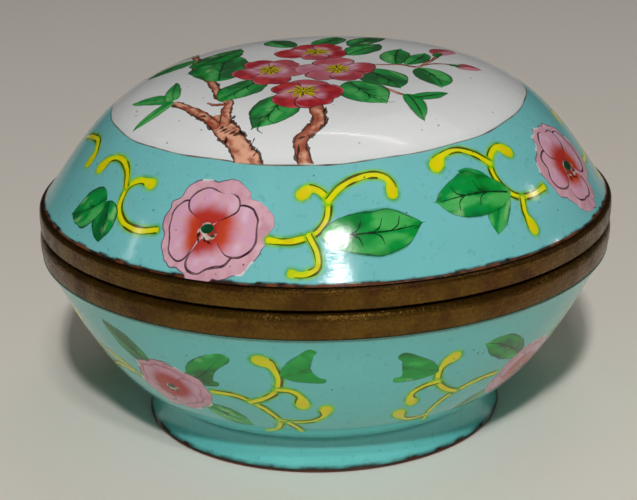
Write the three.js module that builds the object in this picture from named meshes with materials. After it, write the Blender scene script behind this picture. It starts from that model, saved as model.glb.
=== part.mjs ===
// A round covered box of painted enamel on copper: a domed lid and a deep bowl, each bound by a
// brass band, and a low flared foot ring brazed under the bowl. The lid lifts off; a thin brass lip
// inside the bowl's band keeps it in place.
// Units are millimetres, +Z is up and z = 0 is the plane that the foot stands on.

import * as THREE from 'three';

// ---- named sizes -------------------------------------------------------------------------------

const SEGMENTS = 64;            // facets round the axis
const GAP = 0.3;                // clearance kept between pieces that touch on the real box

const BAND_R = 50.0;            // outer radius of both brass bands
const WALL = 1.5;               // enamelled copper: sheet copper with enamel on both faces

const SEAM_Z = 36.2;            // where the lid's band meets the bowl's band
const LID_BAND_TOP_Z = 39.9;    // top of the lid's band
const LID_BAND_INNER_R = 46.95; // inside of the lid's band
const BOWL_BAND_BOTTOM_Z = 31.5;
const LIP_OUTER_R = 46.6;       // locating lip that stands up inside the lid
const LIP_INNER_R = 45.7;
const LIP_TOP_Z = 39.5;

const DOME_R = 49.15;           // outer radius of the dome where its enamel ends
const DOME_RISE = 22.3;         // from there up to the crown
const DOME_FLATNESS = 4.43;     // exponents of the dome's curve: nearly flat on top,
const DOME_FLANK = 1.17;        // straight and steep on the flank

const BOWL_R = 49.7;            // outer radius of the bowl where its enamel ends
const BOWL_DEPTH = 28.6;        // depth of the bowl's curve below that
const BOWL_FLATNESS = 4.87;
const BOWL_FLANK = 1.253;
const BASE_FLAT_R = 25.0;       // the base inside the foot is flat out to here
const BASE_BLEND_R = 30.0;      // and runs into the bowl's curve by here

const FOOT_R = 31.6;            // the foot's lower edge
const FOOT_NECK_R = 29.95;      // its waist, just under the bowl
const FOOT_NECK_Z = 4.6;
const FOOT_WALL = 1.4;

// ---- curves ------------------------------------------------------------------------------------

const domeBottomZ = LID_BAND_TOP_Z + GAP;
const bowlTopZ = BOWL_BAND_BOTTOM_Z - GAP;

// Height of the dome's outside at radius r.
function domeZ(r) {
  const x = Math.min(1, r / DOME_R);
  return domeBottomZ + DOME_RISE * Math.pow(1 - Math.pow(x, DOME_FLATNESS), DOME_FLANK);
}

// Height of the bowl's outside at radius r, with a flat base inside the foot.
function bowlCurveZ(r) {
  const x = Math.min(1, r / BOWL_R);
  return bowlTopZ - BOWL_DEPTH * Math.pow(1 - Math.pow(x, BOWL_FLATNESS), BOWL_FLANK);
}
const blendSlope = (bowlCurveZ(BASE_BLEND_R + 0.01) - bowlCurveZ(BASE_BLEND_R)) / 0.01;
const blendRun = BASE_BLEND_R - BASE_FLAT_R;
const baseZ = bowlCurveZ(BASE_BLEND_R) - 0.5 * blendSlope * blendRun;
function bowlZ(r) {
  if (r >= BASE_BLEND_R) return bowlCurveZ(r);
  if (r <= BASE_FLAT_R) return baseZ;
  const t = r - BASE_FLAT_R;
  return baseZ + 0.5 * blendSlope * t * t / blendRun;
}

// Radii at which a wall's curve is sampled, closer together towards its edge.
function radii(edge, count, power) {
  const list = [];
  for (let i = 0; i <= count; i++) list.push(edge * (1 - Math.pow(1 - i / count, power)));
  return list;
}

// The curve z = f(r) moved by `offset` along its normal.
function offsetCurve(f, rs, offset) {
  const out = [];
  for (const r of rs) {
    const h = 0.02;
    const a = Math.max(0, r - h);
    const slope = (f(r + h) - f(a)) / (r + h - a);
    const n = Math.hypot(slope, 1);
    out.push([r - (offset * slope) / n, f(r) + offset / n]);
  }
  out[0][0] = 0;
  return out;
}

// ---- solids ------------------------------------------------------------------------------------

function lathe(name, profile, material) {
  const pts = profile.map(([r, z]) => new THREE.Vector2(Math.max(0, r), z));
  const geometry = new THREE.LatheGeometry(pts, SEGMENTS);
  geometry.rotateX(Math.PI / 2);          // the lathe's own axis is Y: stand it up along Z
  const mesh = new THREE.Mesh(geometry, material);
  mesh.name = name;
  return mesh;
}

// A profile must run so that the surface faces outwards; this measures which way it turns.
function outward(profile) {
  let area = 0;
  for (let i = 0; i < profile.length; i++) {
    const [r0, z0] = profile[i];
    const [r1, z1] = profile[(i + 1) % profile.length];
    area += r0 * z1 - r1 * z0;
  }
  return area > 0 ? profile : profile.slice().reverse();
}

// A shell of one thickness: outside curve, a level edge, inside curve back to the axis.
function shell(outer, inner, edgeZ) {
  const keep = inner.filter(([r, z]) => (edgeZ > baseZ + 30 ? z > edgeZ + 0.05 : z < edgeZ - 0.05));
  const [ra, za] = keep[keep.length - 1];
  const next = inner[keep.length] || [ra, edgeZ];
  const t = Math.abs(next[1] - za) < 1e-6 ? 0 : (edgeZ - za) / (next[1] - za);
  keep.push([ra + (next[0] - ra) * t, edgeZ]);
  return outward([...outer, ...keep.reverse()]);
}

const turquoise = 0x6fb3ab;
const enamel = () => new THREE.MeshStandardMaterial({ color: turquoise, roughness: 0.18, metalness: 0.0 });
const brass = () => new THREE.MeshStandardMaterial({ color: 0x6b5226, roughness: 0.42, metalness: 1.0 });

// The lid's dome.
const domeRs = radii(DOME_R, 11, 1.9);
const domeOuter = domeRs.map((r) => [r, domeZ(r)]);
const domeInner = offsetCurve(domeZ, radii(DOME_R - 0.02, 9, 1.7), -WALL);
const lidDome = lathe('lid_dome', shell(domeOuter, domeInner, domeBottomZ), enamel());

// The lid's brass band.
const lidRim = lathe('lid_rim', outward([
  [LID_BAND_INNER_R, SEAM_Z + GAP / 2],
  [BAND_R - 0.35, SEAM_Z + GAP / 2],
  [BAND_R, SEAM_Z + 0.55],
  [BAND_R, LID_BAND_TOP_Z - 1.5],
  [BAND_R - 0.2, LID_BAND_TOP_Z - 0.45],
  [DOME_R, LID_BAND_TOP_Z],
  [LID_BAND_INNER_R, LID_BAND_TOP_Z],
  [LID_BAND_INNER_R, SEAM_Z + GAP / 2],
]), brass());

// The bowl.
const bowlRs = [0, BASE_FLAT_R, (BASE_FLAT_R + BASE_BLEND_R) / 2, BASE_BLEND_R];
for (let i = 1; i <= 9; i++) bowlRs.push(BASE_BLEND_R + (BOWL_R - BASE_BLEND_R) * (1 - Math.pow(1 - i / 9, 1.35)));
const bowlOuter = bowlRs.map((r) => [r, bowlZ(r)]);
const bowlInnerRs = bowlRs.filter((r, i) => i !== 2);
bowlInnerRs[bowlInnerRs.length - 1] -= 0.02;
const bowlInner = offsetCurve(bowlZ, bowlInnerRs, WALL);
const bowl = lathe('bowl', shell(bowlOuter, bowlInner, bowlTopZ), enamel());

// The bowl's brass band, with the lip that the lid drops over.
const bowlRim = lathe('bowl_rim', outward([
  [LIP_INNER_R, BOWL_BAND_BOTTOM_Z],
  [BOWL_R, BOWL_BAND_BOTTOM_Z],
  [BAND_R - 0.1, BOWL_BAND_BOTTOM_Z + 1.2],
  [BAND_R, BOWL_BAND_BOTTOM_Z + 2.8],
  [BAND_R - 0.2, SEAM_Z - 0.9],
  [BAND_R - 0.75, SEAM_Z - GAP / 2],
  [LIP_OUTER_R, SEAM_Z - GAP / 2],
  [LIP_OUTER_R, LIP_TOP_Z - 0.3],
  [(LIP_OUTER_R + LIP_INNER_R) / 2, LIP_TOP_Z],
  [LIP_INNER_R, LIP_TOP_Z - 0.3],
  [LIP_INNER_R, BOWL_BAND_BOTTOM_Z],
]), brass());

// The foot: a flared ring, its top cut to follow the underside of the bowl.
const footTopOuterR = FOOT_NECK_R + 0.1;
const footTopInnerR = FOOT_NECK_R - FOOT_WALL;
const underBowl = (r) => bowlZ(r) - GAP - 0.05;
const footRing = lathe('foot_ring', outward([
  [FOOT_R - FOOT_WALL, 0],
  [FOOT_R - 0.1, 0],
  [FOOT_R, 0.35],
  [FOOT_R - 0.62, 1.5],
  [FOOT_NECK_R + 0.22, 3.0],
  [FOOT_NECK_R, FOOT_NECK_Z],
  [footTopOuterR, underBowl(footTopOuterR)],
  [footTopInnerR, underBowl(footTopInnerR)],
  [footTopInnerR, 2.4],
  [FOOT_R - FOOT_WALL, 0],
]), enamel());

const group = new THREE.Group();
group.add(lidDome, lidRim, bowlRim, bowl, footRing);

export default group;
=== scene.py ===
"""A round covered box of painted enamel on copper: domed lid with a white reserve of blossoming branches,
turquoise ground with flowers and scrolls, two aged brass bands and a flared foot.

Painting is done on flat maps of the lid and of the bowl's side, in millimetres. Each brush stroke, petal
and leaf is an outline worked out from a few sizes; the outlines are cut into the mesh, so that every
painted edge is a real mesh edge, and the pigment's colour is kept per face corner.
"""
import math

import bpy
import numpy as np
from mathutils import Matrix, Vector
from mathutils.geometry import delaunay_2d_cdt


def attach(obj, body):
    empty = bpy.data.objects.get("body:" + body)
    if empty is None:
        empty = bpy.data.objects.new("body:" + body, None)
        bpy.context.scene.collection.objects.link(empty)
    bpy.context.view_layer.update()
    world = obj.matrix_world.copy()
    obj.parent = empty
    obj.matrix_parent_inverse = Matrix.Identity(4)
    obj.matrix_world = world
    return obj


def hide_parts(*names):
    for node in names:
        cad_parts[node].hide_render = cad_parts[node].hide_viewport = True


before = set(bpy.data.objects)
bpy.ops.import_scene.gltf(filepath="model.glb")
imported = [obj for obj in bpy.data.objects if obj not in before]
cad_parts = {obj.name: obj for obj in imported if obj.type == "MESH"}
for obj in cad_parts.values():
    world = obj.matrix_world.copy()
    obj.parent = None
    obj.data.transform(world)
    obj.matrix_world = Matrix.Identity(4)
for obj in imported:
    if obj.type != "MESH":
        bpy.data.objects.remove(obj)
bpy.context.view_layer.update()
MM = 0.001

# ------------------------------------------------------------------------------------------------
# Sizes, in millimetres
# ------------------------------------------------------------------------------------------------
SEAM_Z = 36.2
DOME_R, DOME_Z, DOME_RISE, DOME_P, DOME_Q = 49.15, 40.12, 22.36, 4.43, 1.17
BOWL_R, BOWL_Z, BOWL_DEPTH, BOWL_P, BOWL_Q = 49.7, 31.3, 28.7, 4.87, 1.253
BASE_FLAT_R, BASE_BLEND_R = 25.0, 30.0
WALL = 1.5
LEAN = 0.0255            # the hand-raised body stands a little askew: sideways shift per mm of height
STRIP_R = 42.0           # the bowl's map is unrolled at this radius


def smooth(a, b, x):
    t = np.clip((x - a) / (b - a), 0.0, 1.0)
    return t * t * (3 - 2 * t)


def dome_z(r):
    x = np.minimum(1.0, np.abs(r) / DOME_R)
    return DOME_Z + DOME_RISE * (1 - x ** DOME_P) ** DOME_Q


def bowl_curve(r):
    x = np.minimum(1.0, np.abs(r) / BOWL_R)
    return BOWL_Z - BOWL_DEPTH * (1 - x ** BOWL_P) ** BOWL_Q


_slope = (bowl_curve(BASE_BLEND_R + 0.01) - bowl_curve(BASE_BLEND_R)) / 0.01
_run = BASE_BLEND_R - BASE_FLAT_R
_base = bowl_curve(BASE_BLEND_R) - 0.5 * _slope * _run


def bowl_z(r):
    r = np.abs(np.asarray(r, float))
    mid = _base + 0.5 * _slope * (np.maximum(r, BASE_FLAT_R) - BASE_FLAT_R) ** 2 / _run
    return np.where(r >= BASE_BLEND_R, bowl_curve(np.maximum(r, BASE_BLEND_R)), mid)


class Curve:
    """A wall's outside: radius, height and slope as functions of the length along it."""

    def __init__(self, f, edge):
        r = edge * (1 - (1 - np.linspace(0, 1, 5000)) ** 1.6)
        z = f(r)
        self.r, self.z = r, z
        self.s = np.concatenate([[0], np.cumsum(np.hypot(np.diff(r), np.diff(z)))])
        self.length = float(self.s[-1])
        dr, dz = np.gradient(r, self.s), np.gradient(z, self.s)
        n = np.hypot(dr, dz)
        self.nr, self.nz = -dz / n, dr / n      # normal in the (r, z) plane, up and out

    def at(self, s):
        return np.interp(s, self.s, self.r), np.interp(s, self.s, self.z)

    def normal(self, s):
        return np.interp(s, self.s, self.nr), np.interp(s, self.s, self.nz)


DOME = Curve(dome_z, DOME_R)
BOWL = Curve(bowl_z, BOWL_R)


def askew(co):
    """The slight lean, applied to points in mm."""
    co = np.array(co, float)
    co[:, 0] += LEAN * (co[:, 2] - SEAM_Z)
    return co


# ------------------------------------------------------------------------------------------------
# Small numeric tools
# ------------------------------------------------------------------------------------------------
LIGHT = 0.74   # pigments below are written as seen in soft light; this turns them into albedo


def rgb(r, g, b):
    c = np.array([r, g, b], float) / 255.0
    lin = np.where(c <= 0.04045, c / 12.92, ((c + 0.055) / 1.055) ** 2.4)
    return np.clip(lin / LIGHT, 0, 0.92)


def hash2(i, j, seed):
    h = (i.astype(np.int64) * 374761393 + j.astype(np.int64) * 668265263 + seed * 2147483647) & 0xFFFFFFFF
    h = ((h ^ (h >> 13)) * 1274126177) & 0xFFFFFFFF
    return ((h ^ (h >> 16)) & 0xFFFFFF) / float(0xFFFFFF)


def noise(P, size, seed=0):
    """Smooth value noise, 0 to 1, with features of about `size`."""
    q = P / size
    i = np.floor(q).astype(np.int64)
    f = q - i
    f = f * f * (3 - 2 * f)
    a, b = hash2(i[:, 0], i[:, 1], seed), hash2(i[:, 0] + 1, i[:, 1], seed)
    c, d = hash2(i[:, 0], i[:, 1] + 1, seed), hash2(i[:, 0] + 1, i[:, 1] + 1, seed)
    return (a * (1 - f[:, 0]) + b * f[:, 0]) * (1 - f[:, 1]) + (c * (1 - f[:, 0]) + d * f[:, 0]) * f[:, 1]


def fbm(P, size, seed=0):
    return 0.55 * noise(P, size, seed) + 0.3 * noise(P, size * 0.5, seed + 1) + 0.15 * noise(P, size * 0.25, seed + 2)


def rot(P, deg):
    a = math.radians(deg)
    return np.asarray(P, float) @ np.array([[math.cos(a), math.sin(a)], [-math.sin(a), math.cos(a)]])


def spline(ctrl, step=0.28, closed=False):
    """A smooth curve through a few points, evenly resampled."""
    c = np.asarray(ctrl, float)
    if closed:
        c = np.vstack([c[-1], c, c[0], c[1]])
    else:
        c = np.vstack([2 * c[0] - c[1], c, 2 * c[-1] - c[-2]])
    out = []
    for k in range(1, len(c) - 2):
        t = np.linspace(0, 1, 14, endpoint=False)[:, None]
        p0, p1, p2, p3 = c[k - 1], c[k], c[k + 1], c[k + 2]
        out.append(0.5 * (2 * p1 + (p2 - p0) * t + (2 * p0 - 5 * p1 + 4 * p2 - p3) * t ** 2 + (3 * p1 - p0 - 3 * p2 + p3) * t ** 3))
    if not closed:
        out.append(c[-2:-1])
    p = np.vstack(out)
    return resample(p, step, closed)


def resample(p, step, closed=False):
    q = np.vstack([p, p[:1]]) if closed else p
    s = np.concatenate([[0], np.cumsum(np.hypot(*np.diff(q, axis=0).T))])
    n = max(4, int(math.ceil(s[-1] / step)))
    t = np.linspace(0, s[-1], n + 1)
    r = np.stack([np.interp(t, s, q[:, 0]), np.interp(t, s, q[:, 1])], 1)
    return r[:-1] if closed else r


def length_of(c):
    return float(np.hypot(*np.diff(c, axis=0).T).sum())


def ribbon(c, w):
    """Outline of a brush stroke along c with half-widths w, round at both ends."""
    w = np.broadcast_to(np.asarray(w, float), (len(c),))
    d = np.gradient(c, axis=0)
    d /= np.maximum(np.hypot(d[:, 0], d[:, 1]), 1e-9)[:, None]
    n = np.stack([-d[:, 1], d[:, 0]], 1)
    left, right = c + n * w[:, None], c - n * w[:, None]
    parts = [left]
    for end, sgn in ((-1, 1), (0, -1)):
        k = max(3, int(math.ceil(math.pi * w[end] / 0.28)))
        a = np.linspace(0, math.pi, k + 1)[1:-1]
        nn, dd = n[end] * sgn, d[end] * sgn
        cap = c[end] + w[end] * (np.cos(a)[:, None] * nn + np.sin(a)[:, None] * dd)
        parts += [cap, right[::-1]] if end == -1 else [cap]
    return np.vstack(parts)


def inside(P, poly):
    """Which points lie in the outline, by winding number."""
    x, y = P[:, 0][:, None], P[:, 1][:, None]
    a, b = poly, np.roll(poly, -1, axis=0)
    total = np.zeros(len(P), int)
    for k in range(0, len(P), 40000):
        xs, ys = x[k:k + 40000], y[k:k + 40000]
        side = (b[:, 0] - a[:, 0]) * (ys - a[:, 1]) - (xs - a[:, 0]) * (b[:, 1] - a[:, 1])
        up = (a[:, 1] <= ys) & (b[:, 1] > ys) & (side > 0)
        down = (a[:, 1] > ys) & (b[:, 1] <= ys) & (side < 0)
        total[k:k + 40000] = up.sum(1) - down.sum(1)
    return total != 0


def along(P, c):
    """Signed distance from the curve and the place along it, 0 to 1."""
    a, b = c[:-1], c[1:]
    ab = b - a
    l2 = np.maximum((ab ** 2).sum(1), 1e-12)
    s0 = np.concatenate([[0], np.cumsum(np.sqrt(l2))])
    dist, t, side = np.empty(len(P)), np.empty(len(P)), np.empty(len(P))
    for k in range(0, len(P), 20000):
        q = P[k:k + 20000]
        u = np.clip(((q[:, None] - a) * ab).sum(2) / l2, 0, 1)
        v = q[:, None] - (a + u[..., None] * ab)
        d2 = (v ** 2).sum(2)
        j = d2.argmin(1)
        r = np.arange(len(q))
        dist[k:k + 20000] = np.sqrt(d2[r, j])
        t[k:k + 20000] = (s0[j] + u[r, j] * np.sqrt(l2[j])) / s0[-1]
        side[k:k + 20000] = np.sign(ab[j, 0] * v[r, j, 1] - ab[j, 1] * v[r, j, 0])
    return dist, t, side


def mix(a, b, t):
    t = np.asarray(t, float)
    if t.ndim == 1:
        t = t[:, None]
    return np.asarray(a) * (1 - t) + np.asarray(b) * t


# ------------------------------------------------------------------------------------------------
# The painter: layers of outlines, each with its own pigment
# ------------------------------------------------------------------------------------------------
class Painting:
    def __init__(self):
        self.layers = []
        self.lines = []       # extra cut lines that belong to the ground
        self.place = Turn(0.0)

    def add(self, outline, pigment, wash=0.0, cut=True, relief=0.03):
        """pigment(P) gives colour and cover for points in the motif's own map."""
        self.layers.append((self.place(np.asarray(outline, float)), pigment, wash, cut, self.place, relief))

    def stroke(self, ctrl, w, color, cover=1.0, rough=0.0, seed=0, wash=0.2, step=0.28, relief=0.03):
        """One brush line: w is a half-width, or (start, middle, end)."""
        c = spline(ctrl, step) if len(ctrl) > 2 else resample(np.asarray(ctrl, float), step)
        t = np.linspace(0, 1, len(c))
        if np.ndim(w):
            ww = np.interp(t, np.linspace(0, 1, len(w)), w)
        else:
            ww = np.full(len(c), float(w))
        if rough:
            ww = ww * (1 + rough * (2 * noise(c * 1.0 + 31.7 * seed, 0.7, seed) - 1))
        ww = np.maximum(ww, 0.03)
        col = np.asarray(color)

        def pigment(P):
            n = noise(P, 0.8, seed + 5)
            return mix(col, col * 0.72, n), np.full(len(P), cover) * (0.88 + 0.12 * n)

        self.add(ribbon(c, ww), pigment, wash, relief=relief)
        return c


YELLOW, LEMON, LIME = rgb(212, 208, 4), rgb(190, 200, 14), rgb(122, 176, 16)
OCHRE, UMBER = rgb(210, 172, 6), rgb(44, 36, 12)
G_LIGHT, G_MID, G_DARK = rgb(84, 174, 92), rgb(14, 132, 52), rgb(6, 88, 32)
G_INK = rgb(14, 48, 22)
PINK, LILAC, BLUSH = rgb(206, 158, 170), rgb(206, 166, 194), rgb(196, 140, 146)
CRIMSON, SCARLET, ORANGE = rgb(152, 36, 34), rgb(176, 42, 24), rgb(196, 82, 24)
MAROON = rgb(84, 30, 34)
BARK, BARK_LIGHT, BARK_DARK = rgb(150, 78, 56), rgb(212, 158, 132), rgb(34, 20, 14)


def scroll(pt, ctrl, w=0.55, blob=1.15, dark=1, seed=0, pale=0.0, halo=0.78, tip=None):
    """A tendril: lime halo, yellow core, a thin dark line on one side, ending in a round knob."""
    c = spline(ctrl)
    L = length_of(c)
    t = np.linspace(0, 1, len(c))
    back = (1 - t) * L
    ww = w * (0.92 + 0.3 * noise(c + 7.3 * seed, 2.5, seed))
    if blob:
        ww = ww + (blob - w) * smooth(2.6 * blob, 0.5 * blob, back)
    if tip is not None:
        ww = ww * mix(1.0, tip, smooth(0.0, 1.0, t)[:, None])[:, 0] if np.ndim(t) else ww
    yellow = mix(YELLOW, LIME, 0.35 * pale)
    lemon = mix(LEMON, LIME, 0.5 * pale)

    def halo_pigment(P):
        d, s, side = along(P, c)
        w_here = np.interp(s, t, ww)
        a = 1 - smooth(0.3, 1.0, (d - w_here) / (halo * (0.62 + 0.45 * noise(P, 1.5, seed))))
        a = a * (0.84 + 0.16 * noise(P, 1.3, seed + 3)) * (1 - 0.35 * pale)
        g = mix(rgb(124, 186, 2), rgb(76, 156, 34), smooth(0.25, 0.75, noise(P, 1.2, seed + 9)))
        return g, np.clip(a, 0, 1)

    def core_pigment(P):
        d, s, side = along(P, c)
        w_here = np.interp(s, t, ww)
        e = np.clip(d / w_here, 0, 1)
        n = fbm(P, 1.6, seed + 4)
        col = mix(yellow, lemon, smooth(0.25, 0.9, e * 0.8 + 0.4 * n - 0.1))
        if blob:
            o = smooth(2.4 * blob, 0.4 * blob, (1 - s) * L) * smooth(1.0, 0.2, e) * (0.1 + 0.6 * n)
            col = mix(col, OCHRE, np.clip(o, 0, 0.85))
        col = mix(col, OCHRE * 0.85, smooth(0.66, 0.85, noise(P, 2.2, seed + 6)) * 0.35)
        a = np.clip(1.0 - 0.25 * smooth(0.8, 1.0, e), 0, 1)
        return col, a

    pt.add(ribbon(c, ww + halo), halo_pigment, 0.4, relief=0.015)
    pt.add(ribbon(c, ww), core_pigment, 0.6, relief=0.05)
    # the dark line hugs one side of the core and breaks off here and there
    d = np.gradient(c, axis=0)
    d /= np.maximum(np.hypot(d[:, 0], d[:, 1]), 1e-9)[:, None]
    n = np.stack([-d[:, 1], d[:, 0]], 1) * dark
    line = c + n * (ww * 0.98)[:, None]
    keep = slice(0, max(6, int(len(c) * (0.93 if blob else 1.0))))
    line = resample(line[keep], 0.25)
    tt = np.linspace(0, 1, len(line))
    lw = (0.11 + 0.17 * noise(line + 3.1 * seed, 1.6, seed + 8)) * (0.55 + 0.45 * np.sin(np.pi * np.clip(tt, 0.02, 0.98)))

    def line_pigment(P):
        k = noise(P, 1.4, seed + 12)
        return mix(UMBER, rgb(80, 70, 12), k), np.clip(0.62 + 0.6 * k, 0, 0.97)

    pt.add(ribbon(line, lw), line_pigment, 0.2, relief=0.03)
    other = resample((c - n * (ww * 0.98)[:, None])[: max(6, int(len(c) * 0.7))], 0.25)
    ow = 0.04 + 0.15 * smooth(0.4, 0.8, noise(other + 1.7 * seed, 1.9, seed + 18))
    pt.add(ribbon(other, ow), line_pigment, 0.2, relief=0.03)


def leaf_outline(base, tip, width, bend=0.0, full=0.42, ragged=0.0, seed=0, lobes=0.0, tail=0.05):
    """base -> tip along a bowed midrib; full says how far along it is widest."""
    b, e = np.asarray(base, float), np.asarray(tip, float)
    ax = e - b
    L = math.hypot(*ax)
    ax = ax / L
    nx = np.array([-ax[1], ax[0]])
    t = np.linspace(0, 1, 41)
    curl = (0.045 if seed % 2 else -0.045) * L
    rib = b + ax * (t * L)[:, None] + nx * (bend * np.sin(math.pi * t) + curl * smooth(0.78, 1.0, t) ** 1.5)[:, None]
    k = math.log(0.5) / math.log(full)
    body = np.clip(t / (1 - tail), 0, 1)
    prof = np.maximum(np.sin(math.pi * body ** k), 0) ** (0.50 + 0.28 * body ** 2)
    prof = np.maximum(prof, 0.10 * smooth(1.0, 0.86, t) * smooth(0.0, 0.1, t))
    prof = prof * (1 + lobes * (0.5 - np.abs(np.sin(math.pi * (2.6 * t + 0.15)))))
    prof[0] = prof[-1] = 0
    l = width * 0.5 * prof
    r = width * 0.5 * prof
    if ragged:
        l = l * (1 + ragged * (2 * noise(rib + 11 * seed, 2.7, seed) - 1))
        r = r * (1 + ragged * (2 * noise(rib + 17 * seed + 5, 2.7, seed + 1) - 1))
    out = np.vstack([rib + nx * l[:, None], (rib - nx * r[:, None])[-2:0:-1]])
    return resample(out, 0.3, closed=True), rib


def leaf_pigment(rib, width, seed, tone=0.0, light=1):
    def pigment(P):
        d, s, side = along(P, rib)
        e = np.clip(d / (0.5 * width), 0, 1)
        ax = rib[-1] - rib[0]
        deg = math.degrees(math.atan2(ax[1], ax[0]))
        q = rot(P, -deg) * np.array([0.45, 1.0])      # brush marks run along the leaf
        n, m = fbm(q, 1.3, seed), fbm(q, 2.6, seed + 40)
        k = np.clip(0.50 + 0.16 * side * light + 2.1 * (m - 0.5) - 0.28 * smooth(0.25, 0.0, e) + tone, 0, 1)
        col = mix(G_DARK, G_MID, smooth(0.0, 0.40, k))
        col = mix(col, G_LIGHT, smooth(0.52, 0.95, k) * (0.40 + 0.6 * n))
        col = mix(col, rgb(142, 200, 130), smooth(0.66, 0.84, fbm(q, 1.8, seed + 77)) * 0.6)
        col = mix(col, G_DARK, smooth(0.72, 1.0, e) * 0.55)
        return col, np.full(len(P), 0.97)
    return pigment


def leaf(pt, base, tip, width, bend=0.0, full=0.42, ragged=0.1, seed=0, tone=0.0, light=1,
         ink=0.7, rib_ink=0.7, veins=0, edge_side=0, ink_color=None, halo=0.0, lobes=0.0):
    """A painted leaf with its midrib, side veins and a broken dark outline."""
    out, rib = leaf_outline(base, tip, width, bend, full, ragged, seed, lobes)
    ink_c = G_INK if ink_color is None else ink_color
    if halo:
        big, _ = leaf_outline(np.asarray(base) - 0.0, tip, width + 2 * halo, bend, full, ragged, seed)

        def soft(P):
            d, s, side = along(P, rib)
            half = 0.5 * width * np.sin(math.pi * np.clip(s, 0, 1) ** (math.log(0.5) / math.log(full))) ** 0.7
            return np.broadcast_to(G_MID, (len(P), 3)), (1 - smooth(0, halo, d - half)) * 0.55
        pt.add(big, soft, 0.4, relief=0.0)
    pt.add(out, leaf_pigment(rib, width, seed, tone, light), 0.8, relief=0.05)
    if rib_ink:
        k = spline(rib[[2, 12, 25, 36]], 0.3)
        pt.stroke(k, (0.12, 0.17, 0.05), ink_c, min(1, rib_ink * 1.2), 0.5, seed + 2)
    for v in range(veins):
        f = 0.2 + 0.55 * (v // 2 + 0.5) / max(1, (veins + 1) // 2)
        sgn = 1 if v % 2 == 0 else -1
        p = rib[int(f * 40)]
        ax = rib[min(40, int(f * 40) + 8)] - p
        ax /= max(1e-6, math.hypot(*ax))
        nx = np.array([-ax[1], ax[0]]) * sgn
        q = p + ax * width * 0.27 + nx * width * 0.29
        m = p + ax * width * 0.19 + nx * width * 0.10
        pt.stroke([p, m, q], (0.15, 0.12, 0.05), ink_c, min(1, rib_ink * 1.1), 0.4, seed + v)
    if ink:
        n = len(out)
        spans = [(0.03, 0.46), (0.54, 0.97)] if edge_side == 0 else [(0.03, 0.48)] if edge_side > 0 else [(0.52, 0.97)]
        for a, b in spans:
            i, j = int(a * n), int(b * n)
            pt.stroke(out[i:j:3] if j - i > 9 else out[i:j], (0.06, 0.17, 0.06), ink_c, min(1.0, ink * 1.2), 0.7, seed + i)


def forked_leaf(pt, base, tip_a, tip_b, fat=1.0, seed=0, tone=0.0, ink=0.5, cleft=0.66, veins=True):
    """A broad leaf whose end opens in two lobes."""
    b, p, q = (np.asarray(x, float) for x in (base, tip_a, tip_b))
    ax = (p + q) / 2 - b
    sgn = 1.0 if ax[0] * (p - b)[1] - ax[1] * (p - b)[0] > 0 else -1.0

    def side(tip, f, amount):
        d = tip - b
        return b + d * f + np.array([-d[1], d[0]]) * amount
    fork = b + ax * cleft
    ring = [b, side(p, 0.28, 0.20 * sgn * fat), side(p, 0.66, 0.20 * sgn * fat), side(p, 0.95, 0.09 * sgn), side(p, 0.97, -0.06 * sgn), side(p, 0.82, -0.10 * sgn),
            fork, side(q, 0.82, 0.10 * sgn), side(q, 0.97, 0.06 * sgn), side(q, 0.95, -0.09 * sgn), side(q, 0.66, -0.20 * sgn * fat), side(q, 0.28, -0.20 * sgn * fat)]
    out = spline(ring, 0.28, closed=True)
    rib = resample(np.array([b, fork, (p + q) / 2]), 0.3)
    width = 2.0 * np.hypot(*(p - q)) * 0.62 + 0.8
    pt.add(out, leaf_pigment(rib, width, seed, tone, 1), 0.8, relief=0.05)
    if veins:
        pt.stroke([b + ax * 0.04, b + ax * 0.40, b + (p - b) * 0.74], (0.10, 0.14, 0.04), G_INK, 0.75, 0.5, seed + 2)
        pt.stroke([b + ax * 0.36, b + (q - b) * 0.56, b + (q - b) * 0.76], (0.10, 0.12, 0.04), G_INK, 0.7, 0.5, seed + 3)
    n = len(out)
    for f0, f1 in ((0.04, 0.36), (0.44, 0.60), (0.66, 0.95)):
        pt.stroke(out[int(f0 * n):int(f1 * n):3], (0.05, 0.14, 0.06), G_INK, ink, 0.7, seed + int(9 * f0))


def petal_outline(c, ang, length, width, notch=0.07, base=0.08, skew=0.0, ragged=0.0, seed=0):
    """A broad petal pointing along ang (degrees) from the flower's centre c, with a soft notch."""
    phi = np.linspace(-math.pi, math.pi, 60, endpoint=False)
    u = base + (1 - base) * (0.5 * (1 + np.cos(phi))) ** 0.82
    v = np.sin(phi) * (0.5 + 0.5 * smooth(0.0, 0.5, u)) * (1 + 0.10 * skew * np.sin(phi))
    u = u - notch * np.exp(-((phi - 0.5 * skew) / 0.34) ** 2)
    p = resample(np.stack([u * length, v * width * 0.5], 1), 0.3, closed=True)
    if ragged:
        p = p * (1 + ragged * (2 * noise(p + 9.1 * seed, 1.6, seed) - 1))[:, None]
    return rot(p, ang) + np.asarray(c, float)


def ring_line(pt, out, w, color, cover, seed, gaps=0.35, allow=None):
    """A dark line round an outline, thinning and breaking where the noise says."""
    n = len(out)
    c = np.vstack([out, out[:2]])
    m = noise(c + 13.7 * seed, 2.6, seed)
    ww = w * (0.45 + 1.0 * m)
    start = 0
    runs, run = [], []
    for i in range(len(c)):
        if m[i] > gaps and (allow is None or allow[i % n]):
            run.append(i)
        else:
            if len(run) > 5:
                runs.append(run)
            run = []
    if len(run) > 5:
        runs.append(run)
    for r in runs:
        t = np.linspace(0, 1, len(r))
        taper = np.clip(np.minimum(t, 1 - t) * 6, 0.35, 1)
        col = np.asarray(color)

        def pigment(P, col=col):
            k = noise(P, 1.0, seed + 3)
            return mix(col, col * 1.5, k), np.clip(cover * (0.75 + 0.35 * k), 0, 1)
        pt.add(ribbon(c[r], ww[r] * taper), pigment, 0.2)


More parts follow.
